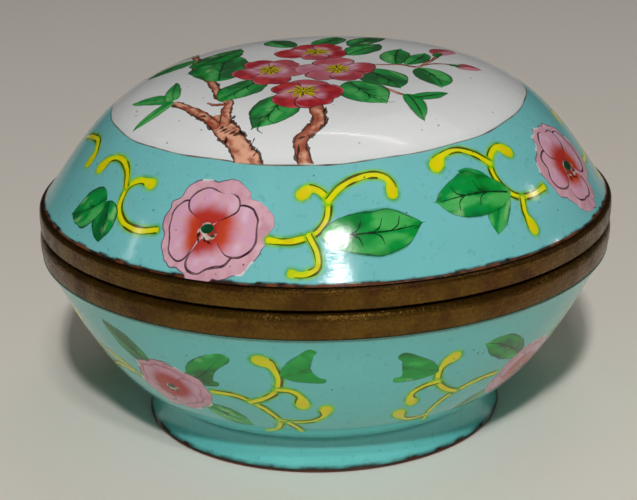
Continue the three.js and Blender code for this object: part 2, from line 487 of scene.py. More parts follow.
def big_flower(pt, c, petals, seed=0, margin=1.7, notches=(0.06, 0.11), dull=0.0, line_color=None, line_cover=0.92, hot_reach=0.55, orange=1.0, lean=-10.0, turn=0.0):
    """Border flower. petals: (angle, length, width) of each inner petal."""
    line_color = rgb(44, 18, 26) if line_color is None else line_color
    c = np.asarray(c, float)
    ang = np.radians(np.arange(0, 360, 2.0))
    R = np.full(len(ang), 0.6 * min(L for _, L, _ in petals))
    for a, L, W in petals:
        q = petal_outline((0, 0), a, L, W, 0.05)
        k = np.round(np.degrees(np.arctan2(q[:, 1], q[:, 0])) / 2).astype(int) % 180
        np.maximum.at(R, k, np.hypot(q[:, 0], q[:, 1]))
    R = np.maximum.reduce([np.roll(R, k) for k in (-2, -1, 0, 1, 2)]) + margin * (1 + 0.3 * np.cos(ang - math.radians(lean)))
    w = np.exp(-0.5 * (np.arange(-9, 10) / 3.0) ** 2)
    R = np.convolve(np.r_[R[-9:], R, R[:9]], w / w.sum(), "valid")
    P0 = np.stack([np.cos(ang), np.sin(ang)], 1)
    R = R * (1 + 0.03 * np.sin(ang * 7 + seed) + 0.05 * (2 * noise(P0 * 6 + seed, 1.0, seed) - 1) + 0.022 * np.abs(np.sin(ang * 11 + 2 * seed)) + 0.03 * (noise(P0 * 14 + seed, 1.0, seed + 2) - 0.5))
    edge = resample(c + P0 * R[:, None], 0.3, closed=True)

    def outer_pigment(P):
        q = P - c
        rr = np.hypot(q[:, 0], q[:, 1])
        th = np.arctan2(q[:, 1], q[:, 0])
        streak = fbm(np.stack([th * 9, rr * 0.35], 1), 1.0, seed + 2)
        col = mix(rgb(186, 138, 152), rgb(202, 160, 172), smooth(0.25, 0.7, 0.5 * streak + 0.5 * fbm(P, 3.0, seed + 4)))
        col = mix(col, rgb(214, 186, 192), smooth(0.60, 0.85, fbm(P, 1.8, seed + 5)) * 0.6)
        col = mix(col, rgb(150, 96, 100), smooth(0.72, 0.95, noise(P, 1.0, seed + 7)) * 0.3)
        return mix(col, rgb(132, 108, 100), dull), np.ones(len(P))

    pt.add(edge, outer_pigment, 0.6, relief=0.06)
    ring_line(pt, edge, 0.11, rgb(66, 54, 76), 0.85, seed + 1, 0.08)
    whites = resample(edge[::4], 0.5, closed=True)
    for k in range(0, 5):                                     # bare white rubbed bits on the edge
        i = int(hash2(np.array([k]), np.array([seed]), 3)[0] * (len(edge) - 12))
        pt.add(ribbon(edge[i:i + 7] * 1.0, np.linspace(0.1, 0.22, 7)), lambda P: (np.broadcast_to(rgb(222, 226, 226), (len(P), 3)), np.full(len(P), 0.75)), 0.0)
    for k, (a, L, W) in enumerate(petals):
        out = petal_outline(c, a, L, W, notch=notches[k % 2], skew=0.5 * (-1) ** k, ragged=0.025, seed=seed + k)
        far = np.array([math.cos(math.radians(a)), math.sin(math.radians(a))])

        def pigment(P, a=a, L=L, W=W, far=far, k=k):
            q = rot(P - c, -a)
            u, v = q[:, 0] / L, q[:, 1] / W
            n = fbm(q * np.array([0.5, 1.3]), 1.1, seed + 20 + k)
            base = mix(rgb(198, 152, 176), rgb(200, 156, 168), smooth(0.3, 0.75, n))
            base = mix(base, rgb(212, 186, 200), smooth(0.5, 0.85, fbm(q, 2.2, seed + 33 + k)) * 0.6)
            edge_u = hot_reach + 0.10 * (n - 0.5) - 0.9 * v ** 2
            red = smooth(edge_u + 0.17, edge_u - 0.20, u)
            hot = mix(rgb(164, 50, 46), rgb(186, 72, 40), smooth(0.0, 0.5, u) * (0.9 if k % 2 == 0 else 0.25) * orange)
            hot = mix(hot, CRIMSON, smooth(0.26, 0.05, u) * 0.6)
            return mix(mix(base, hot, red), rgb(120, 96, 90), dull * 0.7), np.ones(len(P))

        pt.add(out, pigment, 0.7, relief=0.06)
        far = np.hypot(*(out - c).T) > 0.34 * L
        ring_line(pt, out, 0.18, line_color, line_cover, seed + 40 + k, 0.08, far)
    # centre: dark green boss, a white ring and dark anthers
    s = petals[0][1] / 7.0
    boss = c + rot(spline([(-1.1, 0.0), (-0.5, 0.65), (0.6, 0.72), (1.2, 0.15), (0.6, -0.55), (-0.5, -0.6)], 0.25, True), turn) * s
    halo_w = c + rot(spline([(-1.5, -0.2), (-0.4, 0.95), (1.2, 0.6), (1.9, -0.5), (1.1, -1.5), (-1.0, -1.3)], 0.3, True), turn) * s
    pt.add(halo_w, lambda P: (mix(rgb(196, 186, 176), rgb(140, 48, 36), smooth(0.35, 0.62, noise(P, 0.9, seed + 60))), np.full(len(P), 0.85)), 0.2)
    pt.add(boss, lambda P: (mix(rgb(10, 74, 44), rgb(6, 44, 26), noise(P, 0.8, seed)), np.ones(len(P))), 0.2, relief=0.07)
    for k in range(5):
        a = math.radians(205 + 27 * k + turn)
        p = c + np.array([math.cos(a), math.sin(a)]) * (1.25 + 0.5 * (k % 2)) * s
        q = p + np.array([math.cos(a + 0.9), math.sin(a + 0.9)]) * 0.85 * s
        pt.stroke([p, q], (0.10, 0.26, 0.08), rgb(40, 22, 16), 0.95, 0.4, seed + k)


def blossom(pt, c, petals, seed=0, pale=0.0, stamens=(2.2, 3.4), stamen_rot=0.0, tall=1.2):
    """Blossom on the reserve. petals: (angle, length, width, crimson)."""
    c = np.asarray(c, float)
    stretch = np.array([1.04, tall])
    for k, (a, L, W, red) in enumerate(petals):
        out = petal_outline((0, 0), a, L, W, notch=0.02 + 0.05 * (k % 2), base=0.04, skew=0.5 * (-1) ** k, ragged=0.03, seed=seed + k) * stretch + c

        def pigment(P, a=a, L=L, W=W, red=red, k=k):
            q = rot((P - c) / stretch, -a)
            u, v = q[:, 0] / L, q[:, 1] / (0.5 * W)
            n, m = fbm(q * np.array([0.6, 1.2]), 1.2, seed + 7 * k), fbm(q, 2.2, seed + 7 * k + 3)
            base = mix(rgb(192, 120, 138), rgb(208, 160, 174), smooth(0.35, 0.7, m))
            base = mix(base, rgb(160, 50, 58), smooth(0.40, 0.08, u) * 0.65)
            tip = smooth(0.30 + 0.5 * (m - 0.5), 0.66, u + 0.08 * np.abs(v) + 0.12 * v * (-1) ** k) * min(1.0, 0.25 + red)
            rim = smooth(0.93, 1.02, np.hypot(np.maximum(u - 0.5, 0) * 2, v))
            crim = mix(rgb(150, 20, 28), rgb(182, 52, 48), smooth(0.35, 0.75, n))
            col = mix(base, crim, np.clip(tip, 0, 1))
            col = mix(col, rgb(206, 146, 150), rim * 0.45)
            return mix(col, LILAC, 0.35 * pale), np.ones(len(P))

        pt.add(out, pigment, 0.7, relief=0.05)
        ring_line(pt, out, 0.13, rgb(60, 20, 28), 0.82, seed + 50 + k, 0.12)
    sx, sy = stamens
    for k in range(30):
        a = 2 * math.pi * k / 30 + 0.15 * math.sin(3 * k + seed)
        d = rot(np.array([[math.cos(a) * sx, math.sin(a) * sy]]), stamen_rot)[0]
        r0, r1 = 0.10, 0.78 + 0.27 * math.sin(5.1 * k + seed)
        pt.stroke([c + d * r0, c + d * r1], (0.16, 0.26, 0.28), mix(rgb(212, 196, 8), rgb(182, 158, 8), 0.5 + 0.5 * math.sin(2.3 * k)), 0.97, 0.3, seed + k)
    for k in range(15):
        a = 2 * math.pi * (k + 0.5) / 15 + 0.2 * math.sin(2 * k + seed)
        d = rot(np.array([[math.cos(a) * sx, math.sin(a) * sy]]), stamen_rot)[0]
        pt.stroke([c + d * 0.12, c + d * (0.8 + 0.25 * math.sin(4 * k))], (0.05, 0.08, 0.12), rgb(50, 34, 8), 0.92, 0.4, seed + k)


def bud(pt, c, ang, length, width, seed=0, red=0.7):
    out, rib = leaf_outline(np.asarray(c) - rot(np.array([[length / 2, 0]]), ang)[0], np.asarray(c) + rot(np.array([[length / 2, 0]]), ang)[0], width, 0.15 * width, 0.5, 0.08, seed)

    def pigment(P):
        d, s, side = along(P, rib)
        n = fbm(P, 1.3, seed)
        col = mix(rgb(200, 130, 146), rgb(158, 48, 60), smooth(0.25, 0.75, 0.5 + 0.35 * side * red + n - 0.5))
        return col, np.full(len(P), 0.96)
    pt.add(out, pigment, 0.7, relief=0.05)
    ring_line(pt, out, 0.09, rgb(110, 60, 66), 0.5, seed, 0.4)


def in_reserve(P):
    return smooth(37.35, 37.15, np.hypot(P[:, 0] + 1.5, P[:, 1] + 0.4))


def branch(pt, ctrl, w, seed=0, light=0.5, ink=(1, 1)):
    """A bough: brown body with a pale lit middle and jagged dark bark on its edges."""
    c = spline(ctrl)
    t = np.linspace(0, 1, len(c))
    ww = np.interp(t, np.linspace(0, 1, len(w)), w) * (1 + 0.20 * (2 * noise(c + 5 * seed, 1.3, seed) - 1))

    def pigment(P):
        d, s, side = along(P, c)
        e = np.clip(d / np.interp(s, t, ww), 0, 1.2) * side
        q = np.stack([s * length_of(c) * 0.35, e * np.interp(s, t, ww)], 1)
        n, m = fbm(q * 1.0, 0.55, seed + 3), fbm(P, 1.5, seed + 23)
        col = mix(BARK_LIGHT, BARK, smooth(0.2, 0.8, np.abs(e + 0.15) * 0.8 + 1.9 * (n - 0.5) + 1.0 * (m - 0.5) + (0.5 - light)))
        col = mix(col, rgb(136, 56, 36), smooth(0.48, 0.70, fbm(q + 7.0, 0.8, seed + 29)) * 0.75)
        col = mix(col, rgb(92, 46, 32), smooth(0.75, 1.0, np.abs(e)) * 0.6)
        return col, 0.98 * in_reserve(P)
    pt.add(ribbon(c, ww), pigment, 0.8, relief=0.05)
    d = np.gradient(c, axis=0)
    d /= np.maximum(np.hypot(d[:, 0], d[:, 1]), 1e-9)[:, None]
    nrm = np.stack([-d[:, 1], d[:, 0]], 1)
    for sgn, amount in ((1, ink[0]), (-1, ink[1])):
        if amount <= 0:
            continue
        line = c + nrm * (ww * sgn)[:, None]
        spiky = noise(line * 1.0 + 3 * seed + sgn, 0.42, seed + 4) ** 2
        jag = amount * (0.07 + 0.42 * spiky * smooth(0.3, 0.7, noise(line, 2.0, seed + 6) + 0.15))
        pt.add(ribbon(line, np.maximum(jag, 0.05)), lambda P: (mix(BARK_DARK, rgb(86, 50, 34), noise(P, 0.9, seed)), 0.92 * in_reserve(P)), 0.3, relief=0.04)
    return c


def knots(pt, places, seed=0, size=0.27):
    for k, (x, y, dx, dy) in enumerate(places):
        pt.stroke([(x, y), (x + dx * 0.5 + 0.12, y + dy * 0.5 - 0.08), (x + dx, y + dy)], (size * 0.3, size, size * 0.2), BARK_DARK, 0.95, 0.9, seed + k, step=0.16)


# ------------------------------------------------------------------------------------------------
# Places: how a motif's own map is laid on the piece's map
# ------------------------------------------------------------------------------------------------
class Turn:
    """Motifs on the lid, turned about its middle."""

    def __init__(self, deg=0.0):
        self.deg = deg

    def __call__(self, p):
        return rot(p, self.deg)

    def back(self, p):
        return rot(p, -self.deg)


class Unroll:
    """Motifs on the bowl's side: x runs round it, y up it, from the top edge."""

    def __init__(self, deg=0.0):
        self.a = math.radians(deg)

    def __call__(self, p):
        a = p[:, 0] / STRIP_R + self.a
        rho = BOWL.length + p[:, 1]
        return np.stack([rho * np.sin(a), -rho * np.cos(a)], 1)

    def back(self, q):
        rho = np.hypot(q[:, 0], q[:, 1])
        a = np.arctan2(q[:, 0], -q[:, 1]) - self.a
        a = (a + math.pi) % (2 * math.pi) - math.pi
        return np.stack([a * STRIP_R, rho - BOWL.length], 1)


def strip(points):
    """(degrees round, mm down) -> the bowl's unrolled map."""
    p = np.asarray(points, float)
    return np.stack([np.radians(p[:, 0]) * STRIP_R, -p[:, 1]], 1)


# ------------------------------------------------------------------------------------------------
# The lid's painting
# ------------------------------------------------------------------------------------------------
def lid_scroll_pair(pt, seed):
    """Between two border flowers: an S-scroll with a knobbed arm, and a veined leaf."""
    scroll(pt, [(-10.2, -49.7), (-8.0, -50.3), (-5.6, -50.4), (-2.2, -49.6), (-0.2, -47.4), (0.1, -44.6), (-0.9, -42.9), (-2.6, -42.1), (-4.2, -42.9)], 0.5, 1.0, -1, seed)
    scroll(pt, [(0.2, -44.2), (2.0, -42.1), (4.6, -40.4), (7.8, -39.4), (10.1, -40.1), (10.9, -42.3)], 0.52, 0.95, 1, seed + 1)
    scroll(pt, [(-3.2, -49.8), (-1.8, -52.6), (-1.8, -55.0), (-4.2, -55.9), (-6.6, -55.5)], 0.5, 0.6, 1, seed + 2)
    leaf(pt, (-1.2, -50.2), (17.4, -46.6), 7.4, bend=-0.7, full=0.52, ragged=0.12, seed=seed + 3, tone=0.12, veins=5, rib_ink=0.95, ink=0.55, halo=0.5)


def lid_right_scroll(pt, seed):
    scroll(pt, [(39.3, -28.9), (37.2, -32.0), (34.3, -34.4), (31.2, -34.7), (28.4, -32.9), (27.6, -30.0), (28.6, -27.2), (30.9, -26.7)], 0.5, 1.1, 1, seed)
    scroll(pt, [(27.6, -31.2), (24.4, -30.8), (21.4, -31.3), (19.0, -33.3), (18.0, -35.7)], 0.5, 1.15, -1, seed + 1)
    scroll(pt, [(35.0, -34.4), (35.9, -36.6), (38.2, -38.4)], 0.5, 1.1, -1, seed + 2)


def lid_flank_leaves(pt, seed):
    leaf(pt, (30.6, -35.2), (21.6, -34.9), 4.0, bend=0.7, full=0.55, ragged=0.1, seed=seed + 5, tone=0.1, veins=0, rib_ink=0, ink=0.25)
    leaf(pt, (31.6, -34.2), (30.6, -43.8), 4.4, bend=-0.5, full=0.6, ragged=0.1, seed=seed + 3, tone=0.25, veins=0, rib_ink=0, ink=0.3)
    leaf(pt, (32.4, -34.6), (18.2, -43.2), 7.4, bend=-0.5, full=0.55, ragged=0.12, seed=seed, tone=0.12, veins=4, rib_ink=0.8, ink=0.35)


def lid_left_scroll(pt, seed):
    scroll(pt, [(-30.5, -41.4), (-34.0, -39.6), (-36.8, -36.4), (-37.4, -32.8), (-35.2, -30.1), (-32.4, -30.4), (-30.2, -32.6)], 0.5, 0.9, -1, seed)
    scroll(pt, [(-35.4, -29.6), (-34.8, -26.2), (-35.8, -22.6), (-38.0, -20.5), (-40.4, -20.2)], 0.48, 1.15, 1, seed + 1)
    scroll(pt, [(-44.6, -2.5), (-42.6, -6.6), (-41.1, -10.8), (-41.6, -13.9), (-43.2, -15.2)], 0.48, 1.15, 1, seed + 2)
    leaf(pt, (-39.5, -29.5), (-43.5, -36.0), 6.2, bend=0.6, full=0.5, ragged=0.2, seed=seed + 3, tone=-0.15, veins=3, rib_ink=0.5)
    leaf(pt, (-39.8, -29.0), (-49.2, -24.2), 6.4, bend=0.5, full=0.45, ragged=0.2, seed=seed + 4, tone=-0.12, veins=3, rib_ink=0.5)


def border_flower_a(pt, seed):
    big_flower(pt, (-21.0, -45.2), [(160, 7.8, 10.0), (274, 7.2, 9.6), (338, 9.6, 8.4), (68, 7.0, 9.6)], seed, 1.6, lean=-20.0, turn=-25)


def border_flower_b(pt, seed):
    big_flower(pt, (44.6, -18.2), [(84, 8.8, 8.4), (236, 8.6, 7.4), (330, 6.6, 8.0), (160, 7.6, 8.6)], seed, 1.5, turn=60)


def paint_lid():
    pt = Painting()
    quarter = 93.0
    # the border: four flowers round the flank, scrolls and leaves between them
    border_flower_a(pt, 3)
    border_flower_b(pt, 5)
    for turn, seed in ((2 * quarter, 332), (-79.0, 341)):
        pt.place = Turn(turn)
        big_flower(pt, (-21.0, -45.2), [(72, 7.4, 8.6), (168, 7.6, 9.0), (262, 6.8, 8.0), (346, 8.4, 8.2)], seed, 1.6, turn=-25)
    for k in range(3):
        pt.place = Turn(quarter * k)
        lid_scroll_pair(pt, 10 + 40 * k)
        lid_right_scroll(pt, 20 + 40 * k)
        lid_flank_leaves(pt, 30 + 40 * k)
    pt.place = Turn(0.0)
    lid_left_scroll(pt, 150)

    # the white reserve with its thin brown edge
    a = np.radians(np.arange(0, 360, 0.42))
    wob = 37.2 + 0.22 * np.sin(3 * a + 1.0) + 0.14 * np.sin(7 * a + 2.0) + 0.08 * np.sin(17 * a)
    edge = np.stack([-1.5 + wob * np.sin(a), -0.4 - wob * np.cos(a)], 1)

    def white(P):
        d = np.hypot(P[:, 0] + 1.5, P[:, 1] + 0.4)
        col = mix(rgb(215, 215, 218), rgb(210, 213, 214), fbm(P, 9, 3))
        col = mix(col, rgb(190, 200, 197), smooth(35.8, 37.3, d) * 0.45)
        return col, np.ones(len(P))
    pt.add(edge, white, 0.03)
    pt.white_edge = edge
    ring = np.vstack([edge, edge[:2]])
    lw = 0.08 + 0.09 * noise(ring, 2.2, 5)
    pt.add(ribbon(ring, lw), lambda P: (mix(rgb(66, 50, 38), rgb(126, 104, 82), noise(P, 1.6, 8)), 0.55 + 0.45 * noise(P, 2.4, 9)), 0.2)

    # boughs
    branch(pt, [(-12.0, -38.4), (-14.0, -32.6), (-15.6, -29.0), (-17.0, -26.2), (-17.9, -24.2)], (2.3, 2.0, 1.75, 1.7, 1.4), 1, 0.72, (0.9, 1.3))
    branch(pt, [(-18.2, -25.6), (-19.6, -22.9), (-21.5, -20.0), (-23.6, -17.0), (-25.4, -14.6)], (0.9, 0.8, 0.8, 0.7, 0.55), 2, 0.35, (1.2, 0.6))
    branch(pt, [(-16.5, -25.6), (-16.4, -22.0), (-16.0, -19.0), (-17.4, -16.8), (-18.3, -13.0), (-19.3, -8.5), (-20.8, -4.4), (-22.4, 1.0), (-22.7, 8.0), (-23.6, 15.0), (-24.0, 22.0)],
           (0.95, 0.85, 0.7, 0.75, 0.7, 0.65, 0.7, 0.65, 0.55, 0.5, 0.4), 3, 0.35, (0.7, 1.0))
    branch(pt, [(-3.2, -39.0), (-4.1, -35.0), (-4.2, -32.6), (-2.4, -30.2), (-1.3, -28.2), (-1.4, -25.8), (-1.9, -22.6)], (1.2, 1.05, 1.15, 1.0, 1.2, 1.1, 1.0), 4, 0.12, (1.2, 1.5))
    branch(pt, [(6.6, -1.3), (9.8, -1.7), (12.6, -1.7), (15.6, -3.2), (17.2, -0.6), (18.6, 2.2), (19.6, 5.0)], (0.32, 0.36, 0.34, 0.36, 0.3, 0.3, 0.25), 5, 0.2, (0.5, 0.5))
    branch(pt, [(15.6, -3.2), (18.4, -0.8), (21.6, -0.2)], (0.32, 0.28, 0.24), 6, 0.2, (0.5, 0.4))
    branch(pt, [(10.0, -16.0), (11.8, -17.9), (13.5, -18.7), (16.0, -19.4)], (0.3, 0.34, 0.3, 0.2), 7, 0.2, (0.5, 0.5))
    branch(pt, [(-16.5, -19.6), (-18.4, -19.0), (-19.6, -17.8)], (0.4, 0.3, 0.15), 8, 0.3, (0.6, 0.6))
    for k in range(5):                                       # cross marks where the left bough forks
        knots(pt, [(-18.2 + 0.75 * k, -27.0 - 0.55 * k, 1.5, 0.75)], 60 + k)
    knots(pt, [(-13.0, -30.0, -1.2, 1.7), (-12.6, -32.4, 0.9, 1.6), (-12.0, -34.6, 0.7, 1.5), (-16.6, -30.6, 0.2, 1.8), (-15.8, -25.0, 0.9, 1.1)], 70, 0.34)
    knots(pt, [(-4.6, -32.2, 1.6, 0.7), (-4.9, -36.2, 0.3, 2.6), (-0.4, -29.4, 0.7, 2.2), (-0.6, -25.4, 0.5, 1.6), (-20.6, -21.6, 0.9, -0.9), (-17.3, -18.2, 0.9, 0.5)], 80, 0.24)

    # leaves behind the blossoms
    leaf(pt, (-25.6, -13.6), (-33.8, -17.2), 2.7, 0.5, 0.35, 0.1, 71, 0.15, ink=0.3, rib_ink=0.3)
    leaf(pt, (-26.0, -13.4), (-34.4, -6.6), 3.0, -0.5, 0.35, 0.1, 72, 0.2, ink=0.3, rib_ink=0.3)
    leaf(pt, (-25.6, -13.4), (-25.2, -4.6), 2.8, 0.5, 0.35, 0.1, 73, 0.1, ink=0.3, rib_ink=0.3)
    leaf(pt, (-18.1, -8.6), (-16.5, 9.2), 10.2, 0.5, 0.5, 0.16, 74, -0.2, veins=4, ink=0.6)
    leaf(pt, (-10.6, -9.3), (-18.2, -18.3), 6.9, 0.4, 0.5, 0.14, 75, 0.0, veins=3, ink=0.7)
    leaf(pt, (-6.6, -18.4), (-11.8, -29.0), 8.0, 0.5, 0.46, 0.14, 76, 0.05, veins=4, ink=0.75)
    leaf(pt, (3.8, -11.8), (9.6, -22.8), 7.8, -0.5, 0.52, 0.14, 77, 0.05, veins=4, ink=0.75)
    leaf(pt, (6.1, -4.1), (12.9, -15.7), 7.6, 0.3, 0.5, 0.14, 78, -0.05, veins=4, ink=0.7)
    leaf(pt, (3.7, 5.2), (10.3, 13.6), 5.4, 0.3, 0.5, 0.14, 79, -0.1, veins=2, ink=0.6)
    leaf(pt, (12.1, -1.5), (12.9, 10.1), 5.0, 0.3, 0.5, 0.14, 80, -0.05, veins=2, ink=0.6)
    leaf(pt, (13.9, -1.9), (17.9, 7.1), 3.9, -0.3, 0.5, 0.14, 81, 0.1, veins=2, ink=0.6)
    leaf(pt, (15.9, -3.6), (19.7, -14.0), 5.6, 0.6, 0.5, 0.14, 82, 0.0, veins=3, ink=0.6)
    leaf(pt, (13.2, -17.9), (15.6, -26.9), 3.1, 0.5, 0.4, 0.1, 83, -0.1, ink=0.5)
    leaf(pt, (14.1, -19.1), (20.3, -15.3), 2.7, -0.4, 0.4, 0.1, 84, 0.1, ink=0.5)
    pt.stroke([(8.8, -20.4), (10.0, -21.6), (11.2, -21.4)], (0.16, 0.12, 0.05), G_DARK, 0.9, 0.2, 91)
    pt.stroke([(-10.8, -27.4), (-11.2, -28.9), (-10.4, -30.0)], (0.2, 0.14, 0.06), G_DARK, 0.9, 0.2, 92)
    leaf(pt, (-22.7, 8.3), (-32.2, 4.9), 5.4, 0.4, 0.5, 0.14, 85, -0.1, veins=2)
    leaf(pt, (-23.3, 13.2), (-32.7, 23.3), 5.8, 0.4, 0.5, 0.14, 86, -0.1, veins=2)
    leaf(pt, (-23.3, 2.1), (-14.3, 13.7), 6.0, -0.5, 0.5, 0.14, 87, -0.15, veins=2)
    leaf(pt, (-5.7, 11.8), (-10.1, 20.0), 5.2, 0.3, 0.5, 0.14, 88, -0.1, veins=2)
    leaf(pt, (-1.5, 12.3), (2.7, 21.3), 5.2, -0.3, 0.5, 0.14, 89, -0.15, veins=2)
    leaf(pt, (4.5, 11.4), (11.1, 22.2), 5.0, 0.4, 0.5, 0.14, 90, -0.25, veins=2)

    # blossoms, the far ones first
    blossom(pt, (-1.5, 8.2), [(128, 5.0, 5.4, 0.8), (55, 5.2, 5.4, 0.9), (332, 5.4, 5.2, 0.9), (266, 5.0, 4.6, 0.5), (190, 7.2, 5.4, 0.8)], 203, 0.1, (2.2, 2.3))
    blossom(pt, (-9.5, -3.6), [(118, 6.0, 5.6, 0.8), (52, 6.2, 5.4, 0.6), (206, 6.4, 6.2, 1.0), (276, 7.8, 6.4, 1.0), (342, 6.0, 5.4, 0.5)], 211, 0.15, (1.9, 2.9))
    blossom(pt, (1.9, -3.8), [(180, 6.8, 6.2, 0.1), (236, 6.8, 5.6, 0.5), (96, 6.2, 6.8, 0.6), (2, 6.6, 6.2, 0.9), (292, 6.8, 5.6, 0.9)], 223, 0.3, (2.0, 3.0))
    blossom(pt, (-3.8, -16.6), [(66, 5.2, 6.4, 0.5), (150, 5.4, 5.4, 0.8), (236, 6.2, 6.4, 0.9), (300, 6.4, 6.6, 1.0), (350, 6.4, 6.2, 0.9)], 233, 0.1, (2.6, 2.7))
    bud(pt, (21.3, 9.2), 62, 7.8, 4.4, 241, 0.8)
    bud(pt, (24.8, -0.9), 20, 5.2, 3.6, 242, 0.6)
    leaf(pt, (19.2, 4.4), (20.6, 8.2), 1.7, 0.2, 0.4, 0.1, 93, 0.0, ink=0.3, rib_ink=0.2)
    leaf(pt, (21.2, -0.6), (24.0, -1.0), 1.5, 0.2, 0.4, 0.1, 94, 0.0, ink=0.3, rib_ink=0.2)
    return pt


# ------------------------------------------------------------------------------------------------
# The bowl's painting
# ------------------------------------------------------------------------------------------------
def bowl_group(pt, seed, tone=0.0, first=False, last=False):
    """What stands between two flowers of the bowl's side."""
    S = strip
    # left half
    scroll(pt, S([(-25.5, 14.8), (-20.5, 14.9), (-16.5, 16.4), (-13.2, 18.9), (-11.2, 22.0), (-12.6, 25.2), (-15.6, 26.6)]), 0.46, 0.6, 1, seed)
    scroll(pt, S([(-17.0, 16.4), (-13.6, 15.0), (-10.7, 12.8), (-9.7, 9.4), (-10.9, 6.3), (-13.0, 5.1)]), 0.5, 1.15, -1, seed + 1)
    scroll(pt, S([(-10.2, 12.4), (-7.4, 12.6), (-5.6, 14.0), (-5.2, 16.4)]), 0.48, 1.1, -1, seed + 2)
    scroll(pt, S([(-11.0, 21.6), (-7.0, 22.0), (-3.0, 21.4), (-0.6, 19.8), (0.0, 17.6)]), 0.44, 1.0, 1, seed + 3)
    scroll(pt, S([(-9.0, 22.6), (-7.2, 24.2), (-6.4, 25.8)]), 0.5, 0.5, 1, seed + 4)
    forked_leaf(pt, S([(-9.2, 8.8)])[0], S([(-2.2, 2.2)])[0], S([(0.0, 9.8)])[0], 0.62, seed + 5, 0.05 + tone, cleft=0.74, veins=False)
    # right half
    scroll(pt, S([(41.5, 15.8), (37.4, 15.8), (33.0, 16.7), (29.2, 18.4), (26.8, 21.2), (26.4, 24.0), (27.2, 26.2)]), 0.44, 0.5, -1, seed + 7)
    scroll(pt, S([(30.8, 17.4), (27.4, 15.8), (24.8, 13.6), (23.8, 10.8), (24.6, 8.6), (26.2, 7.4)]), 0.5, 1.15, -1, seed + 8)
    scroll(pt, S([(24.4, 13.2), (21.4, 13.7), (19.2, 15.0), (19.0, 16.6), (20.0, 18.0)]), 0.48, 0.95, 1, seed + 9)
    scroll(pt, S([(26.2, 23.8), (22.8, 24.2), (19.6, 23.2), (17.6, 20.9)]), 0.46, 1.1, -1, seed + 10)
    forked_leaf(pt, S([(23.6, 10.4)])[0], S([(13.8, 4.6)])[0], S([(13.6, 10.8)])[0], 0.62, seed + 11, 0.05 + tone, cleft=0.86, veins=False)
    if not last:
        leaf(pt, S([(47.5, 12.8)])[0], S([(32.6, 5.4)])[0], 4.8, -0.4, 0.5, 0.14, seed + 13, 0.0 + tone, veins=3, ink=0.5)
    if not last:
        leaf(pt, S([(45.5, 20.6)])[0], S([(34.8, 25.2)])[0], 4.0, 0.4, 0.5, 0.14, seed + 14, 0.0 + tone, veins=2, ink=0.4)
    # round the left flower
    forked_leaf(pt, S([(-30.6, 12.4)])[0], S([(-19.4, 4.8)])[0], S([(-23.0, 12.2)])[0], 0.95, seed + 15, -0.1 + tone, 0.7, 0.80)
    leaf(pt, S([(-29.5, 19.4)])[0], S([(-18.4, 25.0)])[0], 4.6, 0.5, 0.5, 0.14, seed + 17, 0.0 + tone, veins=3, ink=0.5)
    if first:
        leaf(pt, S([(-40.5, 12.4)])[0], S([(-51.0, 3.2)])[0], 4.6, -0.6, 0.5, 0.14, seed + 16, -0.1 + tone, veins=3, ink=0.5)
        scroll(pt, S([(-47.0, 16.4), (-51.5, 14.4), (-56.5, 13.6), (-61.0, 13.4), (-66.0, 12.2), (-68.5, 9.0), (-67.0, 6.6)]), 0.5, 1.1, -1, seed + 18)


def paint_bowl():
    pt = Painting()
    quarter = 89.5
    for k in range(4):
        pt.place = Unroll(quarter * k)
        bowl_group(pt, 400 + 50 * k, first=k == 0, last=k == 3)
    for k in range(4):
        off = Unroll(-37.2 + quarter * k)
        base = off.a
        pt.place = off
        c = np.array([0.0, -16.0 if k != 1 else -17.6])
        big_flower(pt, c, [(78, 5.4, 6.6), (2, 6.4, 6.4), (288, 5.2, 6.4), (212, 6.6, 6.4), (150, 6.0, 5.6)], 600 + 17 * k, 1.1, dull=0.10, line_color=rgb(120, 50, 66), line_cover=0.5, hot_reach=0.62, orange=0.0)
    pt.place = Unroll(0.0)
    return pt


# ------------------------------------------------------------------------------------------------
# Meshes
# ------------------------------------------------------------------------------------------------
SEGS = 720


def hex_points(R, h):
    n = int(R / h) + 2
    j, i = np.mgrid[-n:n + 1, -int(n * 1.2):int(n * 1.2) + 1]
    x = (i + 0.5 * (j & 1)) * h
    y = j * h * math.sqrt(3) / 2
    p = np.stack([x.ravel(), y.ravel()], 1)
    k = hash2(np.round(p[:, 0] * 97).astype(np.int64), np.round(p[:, 1] * 89).astype(np.int64), 5)
    m = hash2(np.round(p[:, 0] * 83).astype(np.int64), np.round(p[:, 1] * 71).astype(np.int64), 6)
    return p + np.stack([k - 0.5, m - 0.5], 1) * 0.25 * h


